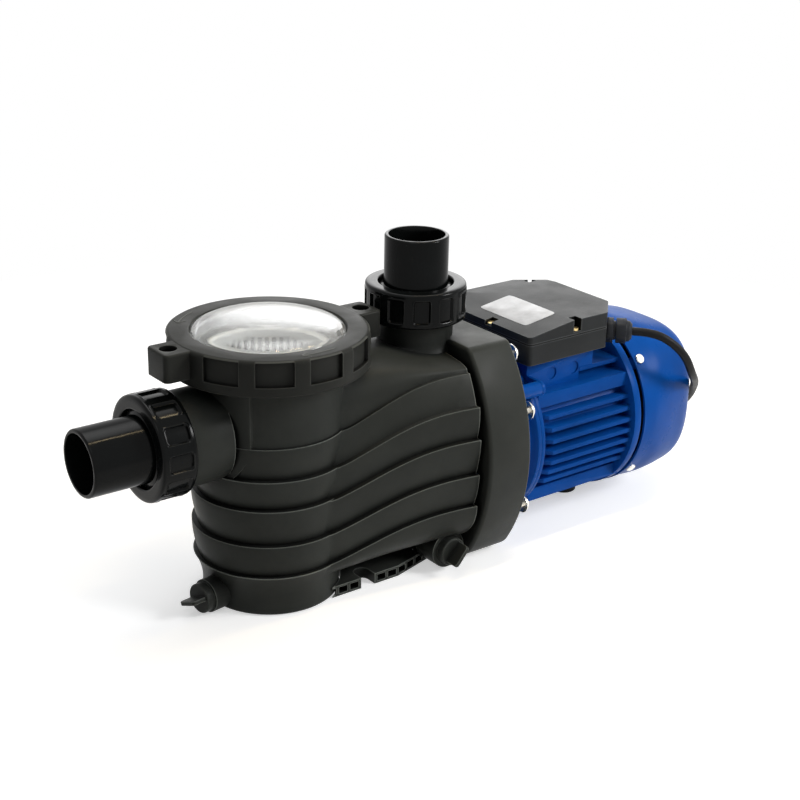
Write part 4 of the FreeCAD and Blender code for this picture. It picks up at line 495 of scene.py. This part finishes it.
def gloss_plastic(name, colour):
    """Polished pipe plastic: hard highlights, faint draw marks, a little dust in faint paler
    patches, painted shade in its hollows and painted highlights along its outer edges.
    """
    bench = Bench(name)
    bench.colour(colour, 1.6, 30.0)
    bench.roughness(0.1, 0.18, 25.0)
    bench.bump(bench.noise(90.0, 2.0, 0.5), 0.00018, 0.35)
    bench.bump(bench.noise(900.0, 2.0, 0.5), 0.00001, 0.6)
    # painted shade in the hollows and painted highlights in a paler grey along the outer edges
    bench.painted_shade_and_highlights(colour, 0.4, 0.006, (0.05, 0.052, 0.05, 1.0), 0.0008, 0.6)
    bench.set(IOR=1.5, Specular_IOR_Level=0.09)
    return bench.material


def gloss_paint(name, colour):
    """Sprayed gloss paint over a casting: orange peel, thin places at a broad scale."""
    bench = Bench(name)
    bench.colour(colour, 1.35, 14.0)
    bench.roughness(0.26, 0.36, 50.0)
    bench.bump(bench.noise(420.0, 2.0, 0.5), 0.00006, 0.7)
    bench.bump(bench.noise(45.0, 2.0, 0.5), 0.0004, 0.35)
    bench.set(IOR=1.5, Specular_IOR_Level=0.05)
    return bench.material


def plated_metal(name, colour, low=0.2, high=0.38):
    """Plated steel or brass with fine scratches and uneven brightness."""
    bench = Bench(name)
    bench.colour(colour, 1.25, 160.0)
    bench.roughness(low, high, 300.0)
    bench.bump(bench.noise(800.0, 2.0, 0.5, (1.0, 0.15, 1.0)), 0.00003, 0.5)
    bench.set(Metallic=1.0)
    return bench.material


def turned_metal(name, colour, low=0.22, high=0.4):
    """Turned steel, its fine rings lying across the motor's axis."""
    bench = Bench(name)
    bench.colour(colour, 1.15, 60.0)
    bench.roughness(low, high, 120.0)
    bench.bump(bench.noise(60.0, 3.0, 0.7, (60.0, 1.0, 1.0)), 0.00002, 0.6)
    bench.set(Metallic=1.0)
    return bench.material


def laminated_metal(name, colour):
    """A pressed stack of thin sheets: fine lines about a millimetre apart along X."""
    bench = Bench(name)
    wave = bench.add("ShaderNodeTexWave", Scale=320.0, Distortion=0.6)
    wave.bands_direction = "X"
    bench.join(bench.place, wave.inputs["Vector"])
    bench.join(bench.mixed(wave.outputs["Fac"], tuple(colour), scaled(colour, 0.55)),
               bench.shader.inputs["Base Color"])
    bench.bump(wave.outputs["Fac"], 0.0001)
    bench.roughness(0.4, 0.55)
    bench.set(Metallic=1.0)
    return bench.material


def wound_wire(name, colour):
    """Lacquered wire wound in bundles that run round the motor's axis."""
    bench = Bench(name)
    rings = bench.add("ShaderNodeTexWave", Scale=190.0, Distortion=3.0, Detail=2.0)
    rings.bands_direction = "X"
    bench.join(bench.place, rings.inputs["Vector"])
    bench.join(bench.mixed(rings.outputs["Fac"], scaled(colour, 0.5), tuple(colour)),
               bench.shader.inputs["Base Color"])
    bench.bump(rings.outputs["Fac"], 0.0004)
    bench.roughness(0.25, 0.4)
    bench.set(Metallic=0.9)
    return bench.material


def soft_rubber(name, colour, low=0.6, high=0.78):
    """Moulded rubber with a dry, slightly bloomed skin."""
    bench = Bench(name)
    bench.colour(colour, 1.7, 70.0)
    bench.roughness(low, high, 90.0)
    bench.bump(bench.noise(1100.0, 2.0, 0.5), 0.00005)
    bench.set(Specular_IOR_Level=0.12)
    return bench.material


def clear_plastic(name):
    """Clear moulded plastic gone slightly milky, with faint flow waves."""
    bench = Bench(name)
    bench.set(Base_Color=(0.93, 0.95, 0.96, 1.0), IOR=1.45, Transmission_Weight=1.0)
    bench.roughness(0.02, 0.09, 30.0)
    bench.bump(bench.noise(22.0, 2.0, 0.5), 0.0006, 0.35)
    milk = bench.add("ShaderNodeBsdfDiffuse", Color=(0.8, 0.8, 0.79, 1.0)).outputs["BSDF"]
    share = bench.ranged(bench.noise(35.0, 3.0, 0.5), 0.05, 0.11)
    haze = either(bench.tree, share, bench.shader.outputs["BSDF"], milk)
    shadow = bench.add("ShaderNodeLightPath").outputs["Is Shadow Ray"]
    through = bench.add("ShaderNodeBsdfTransparent", Color=(0.86, 0.88, 0.9, 1.0))
    bench.join(either(bench.tree, shadow, haze, through.outputs["BSDF"]), bench.surface)
    return bench.material


def blank_plate(name, colour):
    """A pale metallic film, a little handled, with nothing printed on it."""
    bench = Bench(name)
    bench.colour(colour, 1.35, 55.0)
    bench.roughness(0.3, 0.5, 120.0)
    bench.bump(bench.noise(700.0, 2.0, 0.5), 0.00002)
    bench.set(Metallic=0.1, Specular_IOR_Level=0.15)
    return bench.material


MADE = {}


def material_of(key):
    """The finish with that name, made once."""
    if key in MADE:
        return MADE[key]
    look = bpy.context.scene.pump_finish
    grain = look.grain_depth
    # the body, ring and box finishes carry painted shade in their valleys and painted highlights
    # along their edges
    makers = {
        "body": lambda: moulded_plastic("BodyPlastic", look.body_colour, 0.36, 0.5, grain,
                                        edge_highlight=0.8),
        "ring": lambda: moulded_plastic("RingPlastic", look.ring_colour, 0.36, 0.48, grain,
                                        edge_highlight=0.35),
        "union": lambda: gloss_plastic("UnionPlastic", look.union_colour),
        "lid": lambda: clear_plastic("LidPlastic"),
        "basket": lambda: moulded_plastic("BasketPlastic", (0.4, 0.4, 0.385, 1.0), 0.3, 0.42,
                                          grain, 1.08, 0.5),
        "seal": lambda: soft_rubber("SealRubber", (0.012, 0.012, 0.012, 1.0)),
        "hydraulic": lambda: moulded_plastic("FilledPlastic", (0.11, 0.11, 0.1, 1.0), 0.5,
                                             0.65, grain * 2),
        "steel": lambda: turned_metal("TurnedSteel", (0.6, 0.6, 0.61, 1.0)),
        "zinc": lambda: plated_metal("ZincPlate", (0.74, 0.72, 0.67, 1.0)),
        "brass": lambda: plated_metal("Brass", (0.74, 0.56, 0.26, 1.0)),
        "ceramic": lambda: moulded_plastic("Ceramic", (0.8, 0.79, 0.75, 1.0), 0.15, 0.25,
                                           0.00001, 1.05),
        "motor": lambda: gloss_paint("MotorPaint", look.motor_colour),
        "core": lambda: laminated_metal("CoreSteel", (0.36, 0.36, 0.38, 1.0)),
        "copper": lambda: wound_wire("WoundCopper", (0.62, 0.26, 0.1, 1.0)),
        "fan": lambda: moulded_plastic("FanPlastic", (0.04, 0.04, 0.04, 1.0), grain=grain),
        "box": lambda: moulded_plastic("BoxPlastic", look.box_colour, 0.34, 0.46, grain,
                                       edge_highlight=0.4),
        "strip": lambda: moulded_plastic("StripPlastic", (0.7, 0.69, 0.64, 1.0), 0.4, 0.5,
                                         grain, 1.1),
        "can": lambda: gloss_plastic("CapacitorCan", (0.72, 0.72, 0.7, 1.0)),
        "gland": lambda: moulded_plastic("GlandPlastic", (0.02, 0.022, 0.026, 1.0), 0.3,
                                         0.42, grain),
        "cable": lambda: soft_rubber("CableJacket", (0.005, 0.005, 0.0055, 1.0), 0.4, 0.55),
        "plate": lambda: blank_plate("BlankPlate", look.label_colour),
        "strap": lambda: soft_rubber("StrapWeave", (0.03, 0.03, 0.032, 1.0)),
    }
    MADE[key] = makers[key]()
    return MADE[key]


def paint(obj, key):
    obj.data.materials.clear()
    obj.data.materials.append(material_of(key))


def soften(node, key, width=0.0, sharp=30.0, segments=2):
    """Give a CAD node its finish, joined smooth faces and, with a width, eased edges."""
    obj = NODES[node]
    paint(obj, key)
    obj.data.polygons.foreach_set("use_smooth", [True] * len(obj.data.polygons))
    weld = obj.modifiers.new("Weld", "WELD")
    weld.merge_threshold = 2e-6
    if width:
        flat = obj.modifiers.new("Flat", "DECIMATE")
        flat.decimate_type = "DISSOLVE"
        flat.angle_limit = math.radians(0.3)
        bevel = obj.modifiers.new("Ease", "BEVEL")
        bevel.width = width
        bevel.segments = segments
        bevel.limit_method = "ANGLE"
        bevel.angle_limit = math.radians(sharp)
        bevel.use_clamp_overlap = True
    split = obj.modifiers.new("Edges", "EDGE_SPLIT")
    split.split_angle = math.radians(sharp)


def dress(obj, key, body, slot, *nodes):
    """Finish a new piece: its material, its body and the nodes it stands for. The slot is not
    used.
    """
    paint(obj, key)
    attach(obj, body)
    if nodes:
        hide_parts(*nodes)


# ---------------------------------------------------------------- operators
class PUMP_OT_stage(bpy.types.Operator):
    """Set up the camera, the soft lights and the pale floor"""

    bl_idname = "pump.stage"
    bl_label = "Stage"

    def execute(self, context):
        stage = context.scene.pump_stage
        self.camera(context, stage)
        self.lights(stage)
        self.floor()
        context.scene.view_settings.view_transform = "Standard"
        return {"FINISHED"}

    def camera(self, context, stage):
        azimuth, pitch, roll = stage.camera_azimuth, stage.camera_pitch, stage.camera_roll
        ahead = Vector((-math.sin(azimuth) * math.cos(pitch),
                        math.cos(azimuth) * math.cos(pitch), -math.sin(pitch)))
        right = ahead.cross(Vector((0, 0, 1))).normalized()
        up = right.cross(ahead)
        across = math.cos(roll) * right + math.sin(roll) * up
        upright = -math.sin(roll) * right + math.cos(roll) * up
        turn = Matrix((across, upright, -ahead)).transposed().to_4x4()
        lens = bpy.data.cameras.new("Camera")
        lens.sensor_width = 36.0
        lens.lens = stage.focal_length
        lens.clip_start = 0.05
        lens.clip_end = 50.0
        camera = link(bpy.data.objects.new("Camera", lens))
        camera.matrix_world = Matrix.Translation(stage.camera_place) @ turn
        context.scene.camera = camera

    def feather(self, data):
        """Let a lamp fade from its middle to its edges, by 36 u(1 - u) v(1 - v), whose mean
        over the lamp is 1."""
        data.use_nodes = True
        tree = data.node_tree
        place = tree.nodes.new("ShaderNodeSeparateXYZ")
        tree.links.new(tree.nodes.new("ShaderNodeNewGeometry").outputs["Parametric"],
                       place.inputs[0])
        bows = [math_node(tree, "MULTIPLY", edge, math_node(tree, "SUBTRACT", 1.0, edge))
                for edge in (place.outputs["X"], place.outputs["Y"])]
        strength = math_node(tree, "MULTIPLY", math_node(tree, "MULTIPLY", *bows), 36.0)
        tree.links.new(strength, tree.nodes["Emission"].inputs["Strength"])

    def lights(self, stage):
        for name, place, size, share in LAMPS:
            lamp = self.lamp(name, size, stage.key_power * share)
            self.feather(lamp.data)
            lamp.location = place
            aim = Vector(LAMP_AIM) - Vector(place)
            lamp.rotation_euler = aim.to_track_quat("-Z", "Y").to_euler()
        strip = self.lamp("Strip", (0.9, 0.035), stage.key_power * 0.4)
        strip.data.color = (1.0, 0.8, 0.48)
        strip.location = (0.36, -0.21, 1.34)
        world = bpy.data.worlds.new("Studio")
        world.use_nodes = True
        tree = world.node_tree
        soft = tree.nodes["Background"]
        soft.inputs["Color"].default_value = (0.9, 0.92, 0.95, 1.0)
        soft.inputs["Strength"].default_value = 0.13
        seen = tree.nodes.new("ShaderNodeBackground")
        seen.inputs["Color"].default_value = WHITE
        seen.inputs["Strength"].default_value = 1.0
        tree.links.new(either(tree, seen_rays(tree), soft.outputs[0], seen.outputs[0]),
                       tree.nodes["World Output"].inputs["Surface"])
        bpy.context.scene.world = world

    def lamp(self, name, size, energy):
        data = bpy.data.lights.new(name, "AREA")
        data.shape = "RECTANGLE"
        data.size, data.size_y = size
        data.energy = energy
        return link(bpy.data.objects.new(name, data))

    def floor(self):
        """A flat pale floor: the points of a square grid just under height zero.

        Near the pump it is lit paper with a little glow, so that it keeps the pump's
        shadow; from 0.4 to 0.85 m away from the pump's middle it fades to white.
        """
        place = np.linspace(-6.0, 6.0, 9)
        x, y = np.meshgrid(place, place, indexing="ij")
        floor = grid_piece("Floor", np.stack([x, y, np.full_like(x, -0.0002)], axis=-1),
                           wrap_columns=False)
        bench = Bench("FloorPaper")
        bench.colour((0.8, 0.8, 0.8, 1.0), 1.04, 2.0)
        bench.roughness(0.85, 0.95, 4.0)
        bench.set(Specular_IOR_Level=0.1)
        glow = bench.add("ShaderNodeEmission", Color=WHITE, Strength=0.5)
        white = bench.add("ShaderNodeEmission", Color=WHITE, Strength=1.0)
        paper = bench.add("ShaderNodeAddShader")
        bench.join(bench.shader.outputs["BSDF"], paper.inputs[0])
        bench.join(glow.outputs["Emission"], paper.inputs[1])
        centred = bench.add("ShaderNodeMapping", Location=(-0.14, 0.0, 0.0))
        bench.join(bench.place, centred.inputs["Vector"])
        reach = bench.add("ShaderNodeVectorMath")
        reach.operation = "LENGTH"
        bench.join(centred.outputs["Vector"], reach.inputs[0])
        far = bench.ranged(reach.outputs["Value"], 0.0, 1.0, 0.4, 0.85)
        fade = either(bench.tree, far, paper.outputs["Shader"], white.outputs["Emission"])
        bench.join(either(bench.tree, seen_rays(bench.tree), bench.shader.outputs["BSDF"], fade),
                   bench.surface)
        floor.data.materials.append(bench.material)


class PUMP_OT_lead(bpy.types.Operator):
    """Lay the mains lead: down from the gland, into its coil and out to the plug"""

    bl_idname = "pump.lead"
    bl_label = "Lead"

    def execute(self, context):
        lead = context.scene.pump_lead
        points = np.vstack([CORD_ROUTE, self.coil(lead), CORD_END_ROUTE]) * MM
        curve = bpy.data.curves.new("Lead", "CURVE")
        curve.dimensions = "3D"
        spline = curve.splines.new("NURBS")
        spline.points.add(len(points) - 1)
        flat = np.hstack([points, np.ones((len(points), 1))])
        spline.points.foreach_set("co", flat.ravel())
        spline.order_u = 3
        spline.use_endpoint_u = True
        spline.resolution_u = 8
        # each point carries the thickness, because its radius pads the curve's box
        spline.points.foreach_set("radius", np.full(len(points), lead.lead_diameter / 2.0))
        curve.bevel_depth = 1.0
        curve.bevel_resolution = 6
        curve.use_fill_caps = True
        cord = link(bpy.data.objects.new("Lead", curve))
        cord.data.materials.append(material_of("cable"))
        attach(cord, "pump")
        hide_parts("power_cord", "power_cord_coil", "power_cord_end")
        soften("mains_plug", "gland", 0.0006)
        dress(self.tie(), "strap", "pump", "cable_rubber")
        dress(self.plug_ribs(), "gland", "pump", "gland_plastic")
        self.length(cord)
        return {"FINISHED"}

    def coil(self, lead):
        """The wound turns, clockwise seen from above.

        Point k is centre + r(-sin a, -cos a) at height z, for a = 2 pi k / points a turn.
        r and z step smoothly between the two columns and the two layers, each step at
        its own part of a turn, so that the turns lie beside and on each other.
        """
        count = lead.points_a_turn
        turn = np.arange(0, int(COIL_TURNS * count) + 1) / count
        inward = smooth_step(0.83, 1.0, turn)
        rise = smooth_step(1.64, 1.82, turn)
        outward = smooth_step(2.46, 2.64, turn)
        radius = COIL_OUTER + (COIL_INNER - COIL_OUTER) * (inward - outward)
        radius = radius / math.cos(math.pi / count)
        height = COIL_LOW + (COIL_HIGH - COIL_LOW) * rise
        angle = TAU * turn
        return np.stack([COIL_CENTRE[0] - radius * np.sin(angle),
                         COIL_CENTRE[1] - radius * np.cos(angle), height], axis=-1)

    def tie(self):
        """The strap round the coil: a rounded rectangle band about the bundle's section.

        Its path in the (radius, height) plane is x = a sgn(cos t)|cos t|^(1/4) and
        z = b sgn(sin t)|sin t|^(1/4) about the bundle's middle. Its section is a thin
        flat oval whose width lies along the coil.
        """
        t = np.linspace(0.0, TAU, 72, endpoint=False)[:, None]
        section = np.linspace(0.0, TAU, 24, endpoint=False)
        wide = 5.0 * signed_power(np.cos(section), 0.4)
        thick = 0.5 * signed_power(np.sin(section), 0.7)
        reach = 1.0 + thick / STRAP_HALF[1]
        radius = ((COIL_INNER + COIL_OUTER) / 2.0
                  + STRAP_HALF[0] * reach * signed_power(np.cos(t), 0.25))
        height = ((COIL_LOW + COIL_HIGH) / 2.0
                  + STRAP_HALF[1] * reach * signed_power(np.sin(t), 0.25))
        height = np.maximum(height, 0.1)
        points = np.stack([COIL_CENTRE[0] - radius, COIL_CENTRE[1] + wide + 0.0 * radius,
                           height], axis=-1)
        return grid_piece("CoilTie", points * MM, wrap_rows=True)

    def plug_ribs(self):
        """Four soft ribs round the plug's bend relief, each a half circle turned about it."""
        end = np.array(CORD_END_ROUTE[-1])
        direction = end - np.array(CORD_END_ROUTE[-2])
        direction /= np.linalg.norm(direction)
        bend = np.linspace(-math.pi, math.pi, 13)[:-1]
        ribs = []
        for along in (3.5, 8.0, 12.5, 17.0):
            slope = 5.0 + 7.0 * along / 22.0
            profile = np.stack([along + 1.1 * np.sin(bend), slope + 0.8 * np.cos(bend)],
                               axis=-1)
            points = aimed(spun(profile, 64), end + direction * 0.2, direction)
            ribs.append(grid_piece("Rib", points * MM, wrap_rows=True))
        return joined("PlugRibs", ribs)

    def length(self, cord):
        """The spline's own length: its evaluated points with no bevel, added up."""
        depth = cord.data.bevel_depth
        cord.data.bevel_depth = 0.0
        mesh = bpy.data.meshes.new_from_object(cord)
        cord.data.bevel_depth = depth
        line = np.zeros(len(mesh.vertices) * 3)
        mesh.vertices.foreach_get("co", line)
        line = line.reshape(-1, 3)
        return float(np.linalg.norm(np.diff(line, axis=0), axis=1).sum())


class PUMP_OT_unions(bpy.types.Operator):
    """Make both union nuts and both pipe tails in gloss plastic"""

    bl_idname = "pump.unions"
    bl_label = "Pipe unions"

    def execute(self, context):
        for side, direction in (("suction", (-1.0, 0.0, 0.0)), ("discharge", (0.0, 0.0, 1.0))):
            low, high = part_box(side + "_nut")
            axis = Vector(direction)
            half = abs((high - low).dot(axis)) / 2.0
            nut = self.nut(context, side, (low + high) / 2.0 - axis * half, direction)
            dress(nut, "union", side + "_nut", "union_plastic", side + "_nut")
            soften(side + "_tail", "union", 0.0004, 25.0)
        return {"FINISHED"}

    def nut(self, context, side, base, direction):
        """The nut's surface, a closed profile turned with pockets pressed into its side.

        r(a, z) = r0(z) - depth * S(d(a, z)), where d is a rounded-square distance
        (|u|^8 + |v|^8)^(1/8) from the nearest pocket's middle in units of its half
        width and half length, and S falls smoothly from 1 inside to 0 outside. A thin
        raised rim follows the pocket's edge.
        """
        union = context.scene.pump_union
        radius, length, bore = 0.040, 0.028, 0.0345
        hole, lip = 0.0295, 0.0065
        profile = [(0.0, bore), (0.0, radius - 0.0004), (length - 0.001, radius - 0.0004),
                   (length, radius - 0.003), (length, hole), (length - lip, hole),
                   (length - lip, bore)]
        line = eased(profile, {0: 0.0006, 1: 0.0022, 2: 0.0016, 3: 0.0024, 4: 0.0012,
                               5: 0.0004}, 6)
        line = densified(line, 0.0005)
        count = union.pocket_count * 40
        grid = spun(line, count)
        angle = TAU * np.arange(count) / count
        pitch = TAU / union.pocket_count
        near = (angle + pitch / 2.0) % pitch - pitch / 2.0
        u = near * radius / (union.pocket_width / 2.0)
        v = (line[:, 0] - (length / 2.0 - 0.0005)) / (union.pocket_length / 2.0)
        distance = (np.abs(u)[None] ** 8 + np.abs(v)[:, None] ** 8) ** 0.125
        inside = 1.0 - smooth_step(0.90, 1.02, distance)
        rim = np.exp(-((distance - 1.07) / 0.05) ** 2)
        outer = (line[:, 1] > radius - 0.0032)[:, None]
        change = np.where(outer, 0.0003 * rim - union.pocket_depth * inside, 0.0)
        scale = 1.0 + change / line[:, 1][:, None]
        grid[..., 0] *= scale
        grid[..., 1] *= scale
        name = "SuctionNut" if side == "suction" else "DischargeNut"
        return grid_piece(name, aimed(grid, base, direction), wrap_rows=True)


class PUMP_OT_lid(bpy.types.Operator):
    """Finish the locking ring, the clear lid, the strainer basket and their seal"""

    bl_idname = "pump.lid"
    bl_label = "Lid and basket"

    def execute(self, context):
        soften("lid_ring", "ring", 0.0007)
        soften("lid", "lid", 0.0, 40.0)
        dress(self.basket(), "basket", "basket", "basket_plastic", "strainer_basket")
        soften("lid_seal", "seal")
        dress(self.arrows(), "ring", "lid_ring", "ring_plastic")
        return {"FINISHED"}

    def basket(self):
        """The strainer basket: a tapering wall with rows of slots, a floor and a flange.

        The surface is a profile of (radius, height) turned about Z. A cell of its grid is
        left out where it lies in a slot, in a hole of the floor or in the round inlet
        window, and the points near the window's edge are moved onto its circle.
        """
        height = np.linspace(BASKET_FLOOR + 0.002, BASKET_TOP - 0.0002, 72)
        rise = (height - BASKET_FLOOR) / (BASKET_TOP - BASKET_FLOOR)
        radius = BASKET_FLOOR_R + rise * BASKET_TAPER
        floor_radius = np.array([0.0, 0.008, 0.014, 0.020, 0.028, 0.034, 0.0385])
        flange = np.array([[0.0485, 0.1917], [0.0515, 0.1917]])
        profile = np.vstack([np.stack([floor_radius, np.full(7, BASKET_FLOOR)], axis=-1),
                             np.stack([radius, height], axis=-1), flange])
        count = BASKET_SLOTS * BASKET_CELLS
        angle = TAU * (np.arange(count) + BASKET_CELLS / 4.0) / count
        ring, level = profile[:, 0:1], profile[:, 1:2]
        around = (angle[None] - math.pi) * ring
        above = level - INLET_Z + 0.0 * around
        distance = np.hypot(around, above)
        near = (level > 0.021) & (level < 0.191) & (np.abs(distance - INLET_R) < 0.0018)
        factor = np.where(near, INLET_R / np.maximum(distance, 1e-6), 1.0)
        turned = math.pi + around * factor / np.maximum(ring, 1e-6)
        points = np.stack([ring * np.cos(turned), ring * np.sin(turned),
                           INLET_Z + above * factor], axis=-1)
        middle_z = (profile[:-1, 1] + profile[1:, 1])[:, None] / 2.0
        middle_r = (profile[:-1, 0] + profile[1:, 0])[:, None] / 2.0
        column = np.arange(count)[None]
        row = (middle_z - SLOT_FOOT) % SLOT_PITCH
        slot = ((column % BASKET_CELLS < BASKET_OPEN_CELLS) & (row < SLOT_LENGTH)
                & (middle_z > SLOT_FOOT) & (middle_z < 0.1865))
        middle_around = (TAU * (column + 1.5) / count - math.pi) * middle_r
        inlet = (np.hypot(middle_around, middle_z - INLET_Z) < INLET_R) & (middle_z > SLOT_FOOT)
        hole = (middle_z < 0.021) & (middle_r > 0.014) & (middle_r < 0.034)
        hole = hole & (column * 8 % count < 0.44 * count)
        basket = grid_piece("StrainerBasket", points, keep=~(slot | inlet | hole))
        wall = basket.modifiers.new("Wall", "SOLIDIFY")
        wall.thickness = BASKET_WALL
        wall.offset = -1.0
        return basket

    def arrows(self):
        """Two plain raised arrows on the ring's top, one for each way of turning.

        Each is a low ridge whose section is a half ellipse. Its path runs at a constant
        radius, and the head's two short strokes slant back from its end.
        """
        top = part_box("lid_ring")[1].z
        middle = 0.0668
        bend = np.linspace(0.0, math.pi, 7)
        section = np.stack([0.0007 * np.cos(bend), 0.00035 * np.sin(bend)], axis=-1)
        strokes = []
        for first, last in ((116.0, 139.0), (282.0, 258.0)):
            angle = np.radians(np.linspace(first, last, 28))
            back = 0.075 * np.sign(first - last)
            strokes.append(self.on_top(np.full_like(angle, middle), angle, top))
            run = np.linspace(0.0, 1.0, 6)
            for way in (-0.0045, 0.0045):
                strokes.append(self.on_top(middle + way * run, angle[-1] + back * run, top))
        return joined("RingArrows", [grid_piece("Stroke", swept(path, section, (0.0, 0.0, 1.0)),
                                                close_ends=True) for path in strokes])

    def on_top(self, radius, angle, top):
        return np.stack([radius * np.cos(angle), radius * np.sin(angle),
                         np.full_like(angle, top)], axis=-1)


class PUMP_OT_body(bpy.types.Operator):
    """Finish the moulded body, its foot, its drain plugs and their seals"""

    bl_idname = "pump.body"
    bl_label = "Body"

    def execute(self, context):
        soften("pump_body", "body", 0.0005, 34.0)
        soften("foot_plate", "body", 0.0004)
        for node in ("pot_drain_plug", "body_drain_plug"):
            soften(node, "body", 0.0004)
        for node in ("pot_drain_seal", "body_drain_seal", "suction_seal", "discharge_seal",
                     "chamber_seal"):
            soften(node, "seal")
        soften("foot_screws", "steel")
        return {"FINISHED"}


class PUMP_OT_hydraulics(bpy.types.Operator):
    """Finish the impeller, the diffuser, the seal plate and the shaft seal"""

    bl_idname = "pump.hydraulics"
    bl_label = "Hydraulics"

    def execute(self, context):
        for node, key in (("impeller", "hydraulic"), ("diffuser", "hydraulic"),
                          ("seal_plate", "body"), ("impeller_nut", "brass"),
                          ("shaft_seal_fixed_ring", "ceramic"),
                          ("shaft_seal_turning_head", "steel")):
            soften(node, key, 0.0, 32.0)
        return {"FINISHED"}


class PUMP_OT_motor(bpy.types.Operator):
    """Finish the motor's castings, cowl, fasteners and running gear"""

    bl_idname = "pump.motor"
    bl_label = "Motor"

    def execute(self, context):
        for node in ("front_end_bell", "motor_frame", "rear_end_bell"):
            soften(node, "motor", 0.0006)
        soften("fan_cowl", "motor", 0.0, 30.0)
        dress(self.flange_bolts(), "zinc", "pump", "zinc", "flange_bolts")
        dress(self.cowl_screws(), "zinc", "pump", "zinc", "cowl_screws")
        soften("frame_screws", "zinc", 0.0003)
        for node in ("motor_shaft", "front_bearing_outer_race", "front_bearing_inner_race",
                     "rear_bearing_outer_race", "rear_bearing_inner_race", "fan_clip"):
            soften(node, "steel")
        soften("rotor_core", "core")
        soften("stator_core", "core")
        soften("stator_windings", "copper", 0.0, 50.0)
        soften("cooling_fan", "fan", 0.0003)
        soften("motor_foot", "seal", 0.0, 40.0)
        return {"FINISHED"}

    def flange_bolts(self):
        """Eight bolts through the end bell's flange, their heads towards the motor."""
        bolts = []
        for across, up in FLANGE_BOLTS:
            for side in (-1.0, 1.0):
                place = np.array([FLANGE_BOLT_SEAT - WASHER_THICKNESS, side * across, up])
                bolts.append(pan_head_screw(
                    "Bolt", place * MM, (1.0, 0.0, 0.0), head=(0.0055, 0.0034),
                    stem=(0.003, 0.03), washer=(0.0074, WASHER_THICKNESS * MM)))
        return joined("FlangeBolts", bolts)

    def cowl_screws(self):
        """Four screws round the cowl, each looking straight out from the motor's axis."""
        screws = []
        for angle in np.radians(COWL_SCREW_ANGLES):
            out = np.array([0.0, math.cos(angle), math.sin(angle)])
            place = np.array([COWL_SCREW_X, 0.0, MOTOR_AXIS_Z]) + out * COWL_SCREW_SEAT
            screws.append(pan_head_screw("Screw", place * MM, out, head=(0.0042, 0.0022),
                                         stem=(0.002, 0.012)))
        return joined("CowlScrews", screws)


class PUMP_OT_box(bpy.types.Operator):
    """Finish the terminal box, its cover, its blank plate and what it holds"""

    bl_idname = "pump.box"
    bl_label = "Terminal box"

    def execute(self, context):
        soften("terminal_box", "box", 0.0006)
        soften("terminal_box_cover", "box", 0.0012, 12.0, 3)
        soften("terminal_box_gasket", "seal")
        soften("cover_screws", "brass", 0.0002)
        soften("terminal_block", "strip")
        soften("capacitor", "can", 0.0006)
        soften("cable_gland", "gland", 0.0004)
        soften("gland_cap", "gland", 0.0004)
        dress(self.plate(), "plate", "pump", "box_plastic")
        return {"FINISHED"}

    def plate(self):
        """The blank plate: a thin rounded rectangle that lies on the cover's slant.

        Its outline is x = a sgn(cos t)|cos t|^(2/n), y = b sgn(sin t)|sin t|^(2/n) with
        n = 14, carried up from the slant by a low eased edge.
        """
        low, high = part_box("terminal_box_cover")
        edge_z, ramp_x = 0.1788, 0.250
        slope = (high.z - edge_z) / (ramp_x - low.x)
        middle = np.array([0.2348, -0.0092])
        half = np.array([0.0165, 0.0287])
        t = np.linspace(0.0, TAU, 160, endpoint=False)
        power = 2.0 / 14.0
        across = signed_power(np.cos(t), power)
        along = signed_power(np.sin(t), power)
        lift = np.array([-0.0002, 0.00025, 0.00035, 0.00035])
        shrink = np.array([1.0, 1.0, 0.985, 0.0])
        x = middle[0] + half[0] * shrink[:, None] * across
        y = middle[1] + half[1] * shrink[:, None] * along
        z = edge_z + (x - low.x) * slope + lift[:, None]
        return grid_piece("BlankPlate", np.stack([x, y, z], axis=-1))


# ---------------------------------------------------------------- panel and registration
class PUMP_PT_panel(bpy.types.Panel):
    """The pump's pieces and settings"""

    bl_idname = "PUMP_PT_panel"
    bl_label = "Pool Pump"
    bl_space_type = "VIEW_3D"
    bl_region_type = "UI"
    bl_category = "Pool Pump"

    def draw(self, context):
        scene = context.scene
        for group in (scene.pump_finish, scene.pump_union, scene.pump_lead,
                      scene.pump_stage):
            box = self.layout.box()
            for name in group.__annotations__:
                box.prop(group, name)
        for operator in OPERATORS:
            self.layout.operator(operator.bl_idname)


OPERATORS = (PUMP_OT_stage, PUMP_OT_lead, PUMP_OT_unions, PUMP_OT_lid, PUMP_OT_body,
             PUMP_OT_hydraulics, PUMP_OT_motor, PUMP_OT_box)
GROUPS = (("pump_finish", PumpFinishSettings), ("pump_union", PumpUnionSettings),
          ("pump_lead", PumpLeadSettings), ("pump_stage", PumpStageSettings))


def register():
    for name, group in GROUPS:
        bpy.utils.register_class(group)
        setattr(bpy.types.Scene, name, PointerProperty(type=group))
    for operator in OPERATORS:
        bpy.utils.register_class(operator)
    bpy.utils.register_class(PUMP_PT_panel)


def unregister():
    bpy.utils.unregister_class(PUMP_PT_panel)
    for operator in reversed(OPERATORS):
        bpy.utils.unregister_class(operator)
    for name, group in reversed(GROUPS):
        delattr(bpy.types.Scene, name)
        bpy.utils.unregister_class(group)


def main():
    register()
    bpy.ops.pump.stage()
    bpy.ops.pump.lead()
    bpy.ops.pump.unions()
    bpy.ops.pump.lid()
    bpy.ops.pump.body()
    bpy.ops.pump.hydraulics()
    bpy.ops.pump.motor()
    bpy.ops.pump.box()


if __name__ == "__main__":
    main()
